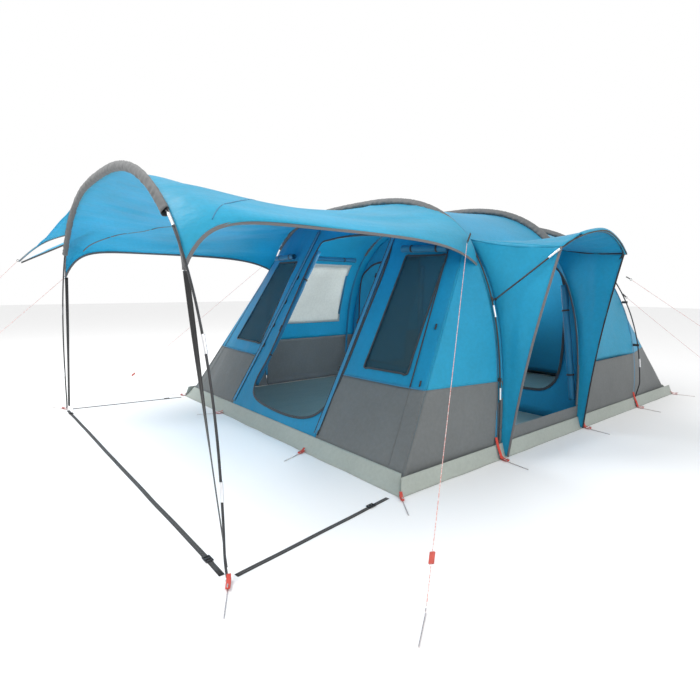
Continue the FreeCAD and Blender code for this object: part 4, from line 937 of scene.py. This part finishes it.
# ---------------------------------------------------------------- sleeves
def sleeve(name, hoop, near_z, far_z, half_width):
    """A gathered sleeve of cloth standing on the roof's seam, with the pole in its outer fold."""
    line = hoop.line(near_z, far_z, 230)
    rows = []
    for i, p in enumerate(line):
        along = (line[min(230, i + 1)] - line[max(0, i - 1)]).normalized()
        out = vec(0, 1, 0).cross(along).normalized()
        row = []
        for k in range(25):
            side, rise = math.cos(2.0 * math.pi * k / 24.0), math.sin(2.0 * math.pi * k / 24.0)
            gather = 1.0 + 0.30 * noise.noise(vec(i * 0.62, side * 1.4, rise * 0.8))
            half = half_width * (1.10 - 0.30 * rise) * gather
            row.append(p + vec(0, side * half, 0) + out * (0.0265 * rise * (0.7 + 0.3 * gather) - 0.0135))
        rows.append(row)
    tube = surface(name, rows, line[0])
    shape = bmesh.new()
    shape.from_mesh(tube.data)
    bmesh.ops.remove_doubles(shape, verts=shape.verts, dist=0.0002)
    bmesh.ops.recalc_face_normals(shape, faces=shape.faces)
    shape.to_mesh(tube.data)
    shape.free()
    return thicken(tube)


def sleeves():
    parts = [sleeve("one", one, 1.560, 1.560, 0.027), sleeve("two", two, 1.560, 1.560, 0.027),
             sleeve("three", three, 1.440, 1.440, 0.027)]
    cloth_piece(joined("hoop_sleeve_cloth", parts), SLEEVE,
                ["hoop_sleeves"])
    cloth_piece(sleeve("canopy_sleeve_cloth", canopy_hoop, 1.490, 1.420, 0.0165), SLEEVE,
                ["canopy_sleeve"], "canopy_hoop")


# ---------------------------------------------------------------- canopy
CANOPY_FRONT = CANOPY_Y + 0.006
CANOPY_BACK = ONE_Y - 0.008
CANOPY_BEND = ("tent", "canopy_hoop", (0, -0.62, 1.6), (0, -2.50, 1.6))


def canopy_point(across, along):
    """A point of the canopy: across runs from -1 to 1, along from 0 at its hoop to 1 at the tent."""
    y = lerp(CANOPY_FRONT, CANOPY_BACK, along)
    from_front, from_back = y - CANOPY_FRONT, CANOPY_BACK - y
    edge = 1.455 - 0.240 * math.exp(-from_front / 0.095) - 0.160 * math.exp(-from_back / 0.240)
    sag = 4.0 * along * (1.0 - along)
    crown = lerp(CANOPY_HEIGHT - 0.034, ONE_HEIGHT - 0.036, along) - 0.135 * sag
    power = lerp(2.3, 3.0, along)
    fall = lerp(0.573, 0.52, along) + 0.3 * sag
    rise = max(0.0, 1.0 - abs(across) ** power) ** fall
    return vec(EDGE_HALF * across, y, edge + (crown - edge) * rise)


def canopy_roof():
    rows = []
    for j in range(141):
        along = j / 140.0
        fine = [canopy_point(math.sin(i * math.pi / 400.0), along) for i in range(-200, 201)]
        rows.append(even(fine, 130))
    roof = surface("canopy_cloth", rows, vec(0, -1.5, 0.4))

    def height(p):
        ends = min(p.y - CANOPY_FRONT, CANOPY_BACK - p.y)
        pull = math.exp(-max(0.0, ends) / 0.5)
        rays = 0.010 * noise.noise(vec(p.x * 9.0 + p.z * 5.0, p.y * 0.9, 2.0)) * (0.45 + 0.55 * pull)
        ripple = noise.noise(vec(p.x * 30.0, p.z * 22.0, p.y * 2.0))
        gather = 0.005 * math.exp(-max(0.0, ends) / 0.09) * ripple
        lengthwise = 0.006 * math.sin(p.x * 21.0 + 3.0 * noise.noise(vec(p.x * 2, p.y * 1.4, 0)))
        return (rays + gather + lengthwise * smooth(ends / 0.3)) * smooth(ends / 0.05 + 0.2)

    thicken(crumple(roof, height))
    # The canopy's cloth is painted lighter than the walls: painted light on its lit top.
    cloth_piece(roof, CANOPY_PAINTED_LIGHT, ["canopy_roof"],
                CANOPY_BEND)
    for sign, word in ((1, "near"), (-1, "far")):
        line = [canopy_point(sign * 0.9995, i / 90.0) - UP * 0.005 for i in range(91)]
        dress(tape(f"canopy_hem_{word}", line, [vec(sign, 0, 0.12)] * 91, 0.017, 0.004), HEM_GREY,
              CANOPY_BEND)
        line = [canopy_point(sign * lerp(0.86, 0.9995, i / 24.0), 0.0) for i in range(25)]
        dress(tape(f"canopy_tail_hem_{word}", line, [vec(0.3, -1, 0)] * 25, 0.015, 0.005), HEM_GREY,
              CANOPY_BEND)
        seam = [(0.985, 0.070), (0.940, 0.105), (0.885, 0.150), (0.820, 0.200),
                (0.705, 0.270), (0.590, 0.340),
                (0.470, 0.430)]
        line, normals = [], []
        for place in rounded([Vector(place) for place in seam], 6, False):
            _, at, normal, _ = roof.closest_point_on_mesh(canopy_point(sign * place[0], place[1]))
            line.append(at)
            normals.append(normal)
        width, look = (0.006, HEM_BLUE) if sign > 0 else (0.011, HEM_GREY)
        dress(tape(f"canopy_corner_seam_{word}", line, normals, width, 0.005),
              look, CANOPY_BEND)


WING_TIP = vec(-1.915, -2.842, 1.370)


def canopy_wing():
    """The guyed ear on the far side: cloth from the hoop's far shoulder out to one tip, with a gusset."""
    ear, hem = [], []
    xs = [lerp(0.82, 1.125, i / 40.0) for i in range(41)]
    crest = canopy_hoop.inset(-0.006)
    for j in range(37):
        share = j / 36.0
        row = []
        for i, x in enumerate(xs):
            start = vec(-x, CANOPY_Y - 0.010, crest.top(x))
            end = WING_TIP + vec(0.002, 0, -0.004) * (i / 40.0)
            p = lerp(start, end, share)
            hollow = math.sin(math.pi * share)
            row.append(p + vec(0.016, 0, -0.022 + 0.060 * i / 40.0) * hollow)
        ear.append(row)
        hem.append(row[-1])
    cloth = surface("canopy_ear_cloth", ear, vec(0, -1.0, 0.2))
    crumple(cloth, lambda p: folds(p, (4.0, 4.0, 14.0), 0.006))
    gusset_rows = []
    for j in range(25):
        share = j / 24.0
        low = lerp(WING_TIP + vec(0.012, 0.014, -0.010), vec(-1.212, CANOPY_Y + 0.036, 1.510), share)
        high = lerp(WING_TIP + vec(0.012, 0.016, -0.008), vec(-1.118, CANOPY_Y + 0.200, 1.624), share)
        gusset_rows.append([lerp(low, high, i / 16.0) for i in range(17)])
    gusset = surface("gusset", gusset_rows, vec(0, -1.0, 0.2))
    crumple(gusset, lambda p: folds(p, (7, 3, 7), 0.005))
    both = joined("canopy_wing_cloth", [thicken(cloth), thicken(gusset)])
    # The ear uses the same painted-lighter canopy cloth: painted light.
    cloth_piece(both, CANOPY_PAINTED_LIGHT, ["canopy_wing"], "canopy_hoop")
    dress(tape("canopy_ear_hem", hem, [vec(1, -0.6, 0.2)] * len(hem), 0.016, 0.004), HEM_GREY,
          "canopy_hoop")
    low_edge = [row[0] - UP * 0.006 for row in gusset_rows]
    dress(tape("canopy_gusset_hem", low_edge, [vec(1, -0.6, 0.1)] * 25, 0.014, 0.004), WEBBING,
          "canopy_hoop")


# ---------------------------------------------------------------- awning
LEFT_TIP = vec(1.895, ONE_Y + 0.075, 1.400)
CREST = vec(1.915, 0.050, 1.532)
RIGHT_TIP = vec(1.845, TWO_Y - 0.075, 1.408)
AWNING_BEND = ("tent", "awning_frame", (1.50, 0.05, 1.40), (1.84, 0.05, 1.45))


def awning_crest(count):
    """The line of the bent pole between the awning's two corners."""
    corners = [LEFT_TIP, lerp(LEFT_TIP, CREST, 0.33) + vec(0.006, 0, 0.030),
               lerp(LEFT_TIP, CREST, 0.68) + vec(0.006, 0, 0.026), CREST,
               lerp(CREST, RIGHT_TIP, 0.34) + vec(0, 0, 0.026),
               lerp(CREST, RIGHT_TIP, 0.7) + vec(0, 0, 0.026),
               RIGHT_TIP]
    return even(rounded(corners, 10, False), count)


def awning():
    pole_line = awning_crest(60)
    root_z, lift = 1.500, vec(0.006, 0, 0.0125)
    rows = []
    for j in range(31):
        share = j / 30.0
        row = []
        for i, p in enumerate(pole_line):
            y = lerp(ONE_Y + 0.055, TWO_Y - 0.055, i / 60.0)
            root = vec(living_x(y, root_z, -0.006), y, root_z)
            end = p + lift
            sag = 0.022 * math.sin(math.pi * share)
            row.append(lerp(root, end, share) - UP * sag)
        rows.append(row)
    hood = surface("awning_hood_cloth", rows, vec(1.4, 0, 0.6))
    crumple(hood, lambda p: folds(p, (4.0, 16.0, 4.0), 0.006) + folds(p, (9.0, 5.0, 2.0), 0.003))
    thicken(hood)
    cloth_piece(hood, SKY, ["awning_hood"], AWNING_BEND)
    wings = []
    for word, hoop, plane_y, toward, corner in (
            ("front", one, ONE_Y + 0.054, 1, rows[-1][0]),
            ("rear", two, TWO_Y - 0.054, -1, rows[-1][-1])):
        foot = vec(hoop.foot + 0.062, plane_y, 0.012)
        tip_low = corner + vec(-0.010, toward * 0.004, -0.006)
        wing_rows, rim = [], []
        for j in range(61):
            share = j / 60.0
            z = lerp(0.012, root_z - 0.004, share)
            root = vec(living_x(plane_y, z, -0.002), plane_y, z)
            edge = lerp(foot, tip_low, share)
            edge.x -= 0.028 * math.sin(math.pi * share)
            wing_rows.append([lerp(root, edge, i / 22.0) for i in range(23)])
            rim.append(edge)
        wing = surface(f"{word}_wing", wing_rows, vec(1.4, 0, 0.6))
        crumple(wing, lambda p: folds(p, (14.0, 4.0, 2.0), 0.005) + folds(p, (5.0, 5.0, 5.0), 0.004))
        wings.append(thicken(wing))
        # The rear wing's hem is black webbing where the front one is grey: painted shade, as that edge is
        # seen from the shaded inside of the awning.
        hem = (0.015, HEM_GREY) if toward > 0 else (0.011, WEBBING)
        dress(tape(f"awning_hem_{word}", rim, [vec(0.5, -1, 0)] * 61, hem[0], 0.005), hem[1],
              AWNING_BEND)
        top = [lerp(vec(living_x(plane_y, root_z, -0.002), plane_y, root_z), tip_low, i / 24.0)
               - UP * (0.024 * math.sin(math.pi * i / 24.0)) for i in range(25)]
        # The rear corner seam is black webbing where the front one is sky cloth: painted shade on the shaded
        # inside of the awning.
        dress(tape(f"awning_corner_seam_{word}", top, [vec(0, 1, 1)] * 25, 0.008, 0.006),
              WEBBING if toward < 0 else SKY, AWNING_BEND)
    cloth_piece(joined("awning_wing_cloth", wings), SKY,
                ["awning_wings"], AWNING_BEND)
    crest = [p + vec(0.001, 0, 0.008) for p in pole_line[12:]]
    dress(tape("awning_crest_sleeve", crest, [vec(0.55, 0, 1)] * len(crest), 0.026, 0.020), SKY,
          "awning_frame")
    lip = [p + vec(0.013, 0, 0.002) for p in pole_line[8:]]
    dress(tape("awning_crest_piping", lip, [vec(1, 0, 0.4)] * len(lip), 0.010, 0.006), WEBBING,
          "awning_frame")


# ---------------------------------------------------------------- bedroom
DIVIDER_Y = TWO_Y + 0.052
INNER_GAP = 0.062
inner_two = two.inset(INNER_GAP + SKIN_GAP)
inner_three = three_skin.inset(INNER_GAP)
BED_DOOR = [(1.330, 1.180), (1.345, 0.520), (1.240, 0.280), (0.980, 0.235), (0.420, 0.235),
            (0.330, 0.330), (0.330, 1.380), (0.420, 1.470), (0.960, 1.450), (1.190, 1.370)]


def bedroom():
    rows = []
    arch = inner_two.at(DIVIDER_Y)
    for j in range(49):
        rise = (j / 48.0) ** 0.8
        z = lerp(0.005, arch.height - 0.004, rise)
        half = arch.half_width(z)
        rows.append([vec(half * i / 60.0, DIVIDER_Y + 0.002, z) for i in range(-60, 61)])
    wall = surface("bedroom_divider_cloth", rows, vec(0, 2.0, 0.7))
    thicken(crumple(wall, lambda p: folds(p, (7.0, 1.0, 1.6), 0.007)))
    for sign in SIDES:
        outline = rounded([vec(sign * x, DIVIDER_Y - 0.02, z) for x, z in BED_DOOR], 5)
        cut(wall, outline, vec(0, 0.06, 0))
        points = [p + vec(0, 0.015, 0) for p in outline]
        dress(tape(f"bed_door_zip_{'near' if sign > 0 else 'far'}", points, [vec(0, -1, 0)] * len(points),
                   0.024, 0.004, True), ZIP)
    cloth_piece(wall, INNER, ["bedroom_divider"])
    rows = []
    for j in range(33):
        share = j / 32.0
        hoop = between(inner_two, inner_three, share, lerp(DIVIDER_Y + 0.008, THREE_Y - 0.06, share))
        rows.append(hoop.line(hoop.knee + 0.001, hoop.knee + 0.001, 100))
    tunnel = crumple(surface("tunnel", rows, MIDDLE), lambda p: folds(p, (6.0, 2.0, 6.0), 0.008))
    back = EndWall(REAR_Y - INNER_GAP - 0.02, inner_three.at(THREE_Y - 0.056), REAR_SHOULDER, BASE - 0.08)
    slope = back.patch("slope", lambda t: -1.0, constant(1.0), constant(0.06),
                       lambda s: back.top(s) - 0.012, 60, 30)
    crumple(slope, lambda p: folds(p, (5.0, 2.0, 2.0), 0.008))
    cell = joined("bedroom_cell_cloth", [thicken(tunnel), thicken(slope)])
    cloth_piece(cell, INNER, ["bedroom_cell"])


# ---------------------------------------------------------------- windows and rolls
def window_panes():
    panes = []
    for outline in (NEAR_WINDOW, FAR_WINDOW):
        (s0, z0), (s1, _), (s2, z2), (s3, _) = outline
        rows = []
        for j in range(25):
            v = j / 24.0
            row = []
            for i in range(15):
                u = i / 14.0
                s = lerp(lerp(s0, s3, v), lerp(s1, s2, v), u)
                row.append(front.point(lerp(0.5 * (s0 + s1), s, 1.04),
                                       lerp(z0 - 0.014, z2 + 0.014, v), 0.006))
            rows.append(row)
        pane = crumple(surface("pane", rows, MIDDLE), lambda p: folds(p, (5, 2, 2), 0.003))
        panes.append(thicken(pane, 0.0006))
    cloth_piece(joined("window_net_cloth", panes), NET,
                ["window_meshes"])
    rows = []
    for j in range(25):
        z = lerp(WINDOW_LOW - 0.016, WINDOW_TOP + 0.016, j / 24.0)
        rows.append([vec(-living_x(y, z, 0.012), y, z)
                     for y in (lerp(WINDOW_FRONT - 0.016, WINDOW_BACK + 0.016, i / 24.0) for i in range(25))])
    pane = crumple(surface("side_window_film", rows, MIDDLE), lambda p: folds(p, (2, 3, 5), 0.004))
    thicken(pane, 0.0006)
    cloth_piece(pane, FILM, ["side_window_pane"])


def rolled(name, start, end, radius, turns=3.2):
    """Cloth rolled up: a spiral sheet with uneven turns, tied twice."""
    axis = (end - start).normalized()
    side = axis.cross(UP if abs(axis.z) < 0.9 else vec(1, 0, 0)).normalized()
    other = axis.cross(side)
    length = (end - start).length
    rows = []
    for j in range(41):
        at = j / 40.0
        waist = 1.0 - 0.16 * sum(math.exp(-((at - tie) / 0.035) ** 2) for tie in (0.22, 0.78))
        row = []
        for i in range(121):
            turn = 2.0 * math.pi * turns * i / 120.0
            reach = lerp(0.30, 0.93, i / 120.0) * radius * waist
            reach *= 1.0 + 0.10 * noise.noise(vec(at * length * 9.0, math.cos(turn) * 1.5,
                                                  math.sin(turn) * 1.5))
            row.append(start + axis * (at * length) + side * (math.cos(turn) * reach)
                       + other * (math.sin(turn) * reach))
        rows.append(row)
    cloth = thicken(surface(name, rows, start), 0.001)
    ties = []
    for number, at in enumerate((0.22, 0.78)):
        centre = start + axis * (at * length)
        ring = [centre + (side * math.cos(t * math.pi / 14) + other * math.sin(t * math.pi / 14))
                * radius * 0.86
                for t in range(28)]
        normals = [(p - centre).normalized() for p in ring]
        ties.append(tape(f"{name}_tie_{number}", ring, normals, 0.014, 0.003, True))
    dress(joined(f"{name}_ties", ties), WEBBING)
    return cloth


def rolls():
    out = -0.044
    covers = [rolled("near_cover", front.point(0.65, 1.412, out), front.point(0.93, 1.400, out), 0.029),
              rolled("far_cover", front.point(-0.70, 1.412, out), front.point(-0.42, 1.416, out), 0.029)]
    cloth_piece(joined("window_cover_cloth", covers), ROLL,
                ["window_cover_rolls"])
    curtain_x = -two_skin.half_width(1.5) + 0.060
    doors = [rolled("side_door_roll", vec(two_skin.half_width(0.26) - 0.048, TWO_Y - 0.05, 0.230),
                    vec(two_skin.half_width(1.18) - 0.048, TWO_Y - 0.05, 1.180), 0.034),
             rolled("front_door_roll", front.point(-0.30, 0.300, 0.042),
                    front.point(-0.245, 1.500, 0.042), 0.030),
             rolled("near_bed_roll", vec(0.268, DIVIDER_Y - 0.034, 0.330),
                    vec(0.268, DIVIDER_Y - 0.034, 1.380), 0.028),
             rolled("far_bed_roll", vec(-0.268, DIVIDER_Y - 0.034, 0.330),
                    vec(-0.268, DIVIDER_Y - 0.034, 1.380), 0.028),
             rolled("side_curtain_roll", vec(curtain_x, WINDOW_FRONT, 1.470),
                    vec(curtain_x, WINDOW_BACK, 1.470), 0.028)]
    cloth_piece(joined("door_roll_cloth", doors), ROLL,
                ["door_rolls"])


# ---------------------------------------------------------------- webbing
def strap_line(start, end, count, lift=None):
    """Points of a strap with a slight waver where it lies or hangs."""
    points = []
    for i in range(count + 1):
        p = lerp(start, end, i / count)
        points.append(p + vec(folds(p, (3, 3, 3), 0.004), folds(p + UP, (3, 3, 3), 0.004), 0) if lift is None
                      else p + lift * math.sin(math.pi * i / count))
    return points


def webbing():
    ties = []
    for sign in SIDES:
        top = vec(sign * (EDGE_HALF + 0.002), CANOPY_Y + 0.014, 1.220)
        foot = vec(sign * (CANOPY_FOOT - 0.030), CANOPY_Y + 0.014, 0.040)
        line = strap_line(top, foot, 40, vec(-sign * 0.010, 0, 0))
        twist = vec(-0.2, -1, 0) if sign > 0 else vec(0.6, -0.8, 0)
        normals = [lerp(vec(1, -0.4, 0), twist, min(1.0, i / 26.0)) for i in range(41)]
        ties.append(tape("tie", line, normals, 0.025, 0.002))
    webs = dress(joined("canopy_tie_webbing", ties), WEBBING, "canopy_hoop")
    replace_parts(webs, "canopy_ties")
    runs = [(vec(-CANOPY_FOOT + 0.045, CANOPY_Y, 0.0011), vec(CANOPY_FOOT - 0.045, CANOPY_Y, 0.0011))]
    runs += [(vec(sign * (CANOPY_FOOT - 0.006), CANOPY_Y + 0.045, 0.0011),
              vec(sign * (BASE + 0.004), FRONT_Y - 0.090, 0.0011)) for sign in SIDES]
    straps = [tape("strap", strap_line(a, b, 60), [UP] * 61, 0.025, 0.002) for a, b in runs]
    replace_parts(dress(joined("ground_strap_webbing", straps), WEBBING), "ground_straps")


def heading(degrees):
    return vec(math.cos(math.radians(degrees)), math.sin(math.radians(degrees)), 0)


FLAP_OUT = 0.037
PEG_PLACES = [(BASE + 0.046, FRONT_Y - 0.028, -35), (-BASE - 0.046, FRONT_Y - 0.028, -145),
              (-0.686, FRONT_Y - FLAP_OUT, -115), (0.645, FRONT_Y - FLAP_OUT, -70),
              (BASE + 0.046, REAR_Y + 0.010, 12), (-BASE - 0.046, REAR_Y + 0.010, 168),
              (0.500, REAR_Y + FLAP_OUT, 27), (-0.500, REAR_Y + FLAP_OUT, 153)]
PEG_PLACES += [(sign * (BASE + 0.057), hoop.y, -8 if sign > 0 else -172)
               for hoop in (one, two, three) for sign in SIDES]
PEG_PLACES += [(CANOPY_FOOT + 0.014, CANOPY_Y, -30), (-CANOPY_FOOT - 0.014, CANOPY_Y, -150)]


def peg_loops():
    """Red webbing loops, doubled over the hook of each peg."""
    parts = []
    for x, y, degrees in PEG_PLACES:
        out = heading(degrees)
        start = vec(x, y, 0)
        corners = [start + out * a + UP * b for a, b in
                   ((-0.014, 0.010), (0.012, 0.0035), (0.036, 0.003), (0.052, 0.007), (0.055, 0.011),
                    (0.050, 0.0155), (0.034, 0.015), (0.010, 0.018), (-0.012, 0.030))]
        line = rounded(corners, 5, False)
        side = out.cross(UP)
        normals = []
        for i in range(len(line)):
            along = (line[min(len(line) - 1, i + 1)] - line[max(0, i - 1)]).normalized()
            normals.append(along.cross(side).normalized())
        parts.append(tape("loop", line, normals, 0.018, 0.0018))
    for hoop in (one, two, three):
        for sign in SIDES:
            corners = [vec(sign * x, hoop.y - 0.016, z) for x, z in
                       ((BASE + 0.014, 0.150), (BASE + 0.030, 0.100),
                        (BASE + 0.052, 0.050), (BASE + 0.066, 0.014))]
            line = rounded(corners, 6, False)
            parts.append(tape("foot_strap", line, [vec(sign, -0.5, 0.3)] * len(line), 0.019, 0.0022))
    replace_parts(dress(joined("peg_loop_webbing", parts), RED_WEB), "peg_loops")


def pole_clips():
    """Webbing loops round the poles, with a tab back to the cloth."""
    parts = []
    for hoop, skin, z in ((one, one_skin, 0.545), (three, three_skin, 1.020), (three, three_skin, 0.610)):
        for sign in SIDES:
            x = sign * hoop.half_width(z)
            root = sign * (skin.half_width(z) + 0.002)
            away = vec(sign, 0, 0)
            line = [vec(root, hoop.y, z), lerp(vec(root, hoop.y, z), vec(x, hoop.y, z), 0.45)]
            line[1] = line[1] + vec(0, 0.004, 0)
            for k in range(13):
                turn = math.pi * (0.75 - 1.5 * k / 12.0)
                line.append(vec(x, hoop.y, z) + away * math.cos(turn) * 0.0085
                            + vec(0, 1, 0) * math.sin(turn) * 0.0085)
            line.append(vec(root, hoop.y, z) - vec(0, 0.004, 0))
            normals = []
            for i in range(len(line)):
                along = (line[min(len(line) - 1, i + 1)] - line[max(0, i - 1)]).normalized()
                normals.append(along.cross(UP).normalized())
            parts.append(tape("clip", line, normals, 0.022, 0.0018))
    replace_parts(dress(joined("pole_clip_webbing", parts), WEBBING), "pole_clips")


# ---------------------------------------------------------------- guy lines
GUYS = {
    "near": (vec(1.345, -0.668, 1.446), vec(2.322, -2.110, 0.022)),
    "far": (vec(-1.400, -0.640, 1.392), vec(-2.585, -1.870, 0.022)),
    "rear_side": (vec(1.452, THREE_Y + 0.034, 1.235), vec(2.760, 3.140, 0.022)),
    "rear_back": (vec(1.400, THREE_Y + 0.090, 1.060), vec(2.000, 3.620, 0.022)),
    "wing": (WING_TIP + vec(-0.006, -0.018, -0.008), vec(-2.760, -4.060, 0.022)),
    "tail": (vec(-EDGE_HALF - 0.012, CANOPY_Y - 0.010, 1.209), vec(-2.130, -3.780, 0.022)),
}
SAG = 0.012
ROPE_RADIUS = 0.00175


def route_line(name, points):
    """Points read from the smooth spline that a cord follows."""
    curve = bpy.data.curves.new(name + "_route", "CURVE")
    curve.dimensions = "3D"
    curve.resolution_u = 24
    spline = curve.splines.new("NURBS")
    spline.points.add(len(points) - 1)
    for place, p in zip(spline.points, points):
        place.co = (*p, 1.0)
    spline.order_u = 3
    spline.use_endpoint_u = True
    route = bpy.data.objects.new(name + "_route", curve)
    bpy.context.scene.collection.objects.link(route)
    graph = bpy.context.evaluated_depsgraph_get()
    mesh = bpy.data.meshes.new_from_object(route.evaluated_get(graph))
    line = [Vector(v.co) for v in mesh.vertices]
    bpy.data.objects.remove(route)
    bpy.data.meshes.remove(mesh)
    return line


def rope(name, line, radius):
    """A round twisted rope along a line."""
    sides = 10
    verts = []
    for i, p in enumerate(line):
        along = (line[min(len(line) - 1, i + 1)] - line[max(0, i - 1)]).normalized()
        side = along.cross(UP).normalized()
        other = along.cross(side)
        for k in range(sides):
            turn = 2 * math.pi * k / sides
            lobe = radius * (0.94 + 0.06 * math.cos(3 * turn + i * 1.3))
            verts.append(p + side * math.cos(turn) * lobe + other * math.sin(turn) * lobe)
    faces = [(i * sides + k, i * sides + (k + 1) % sides,
              (i + 1) * sides + (k + 1) % sides, (i + 1) * sides + k)
             for i in range(len(line) - 1) for k in range(sides)]
    faces += [tuple(range(sides)), tuple(range((len(line) - 1) * sides, len(line) * sides))]
    mesh = bpy.data.meshes.new(name)
    mesh.from_pydata(verts, [], faces)
    shape = bmesh.new()
    shape.from_mesh(mesh)
    bmesh.ops.recalc_face_normals(shape, faces=shape.faces)
    shape.to_mesh(mesh)
    shape.free()
    mesh.shade_smooth()
    return link_mesh(name, mesh)


def guy_lines():
    for name, (top, foot) in GUYS.items():
        points = [top, lerp(top, foot, 0.46) - UP * SAG, foot]
        line = route_line(name, points)
        cord = rope(f"guy_line_{name}", line, ROPE_RADIUS)
        body = ("tent", "canopy_hoop", foot, top) if name in ("wing", "tail") else "tent"
        dress(cord, ROPE, body)
        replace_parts(cord, f"guy_{name}")


# ---------------------------------------------------------------- CAD pieces that stay
KEPT = {
    "canopy_pole": FIBRE, "hoop_one_pole": FIBRE, "hoop_two_pole": FIBRE, "hoop_three_pole": FIBRE,
    "awning_pole": FIBRE, "canopy_ferrules": SILVER, "hoop_ferrules": SILVER, "awning_ferrules": SILVER,
    "foot_pins": STEEL, "base_pegs": STEEL, "guy_pegs": STEEL, "guy_rings": BLACK_PLASTIC,
    "canopy_guy_rings": BLACK_PLASTIC, "awning_hubs": BLACK_PLASTIC, "strap_buckles": BLACK_PLASTIC,
    "toggles": BLACK_PLASTIC, "front_zip_slider": BLACK_PLASTIC, "side_zip_slider": BLACK_PLASTIC,
}
KEPT.update({f"runner_{name}": RED_PLASTIC for name in GUYS})


def kept_pieces():
    for name, material in KEPT.items():
        mesh = NODES[name].data
        mesh.materials.clear()
        mesh.materials.append(material)
        mesh.shade_smooth()
        mesh.set_sharp_from_angle(angle=math.radians(35))


camera()
studio()
guy_lines()
kept_pieces()
living_bay()
bedroom_bay()
hoop_seams()
front_walls()
side_walls()
rear_walls()
mud_flaps()
groundsheet()
sleeves()
canopy_roof()
canopy_wing()
awning()
bedroom()
window_panes()
rolls()
webbing()
peg_loops()
pole_clips()
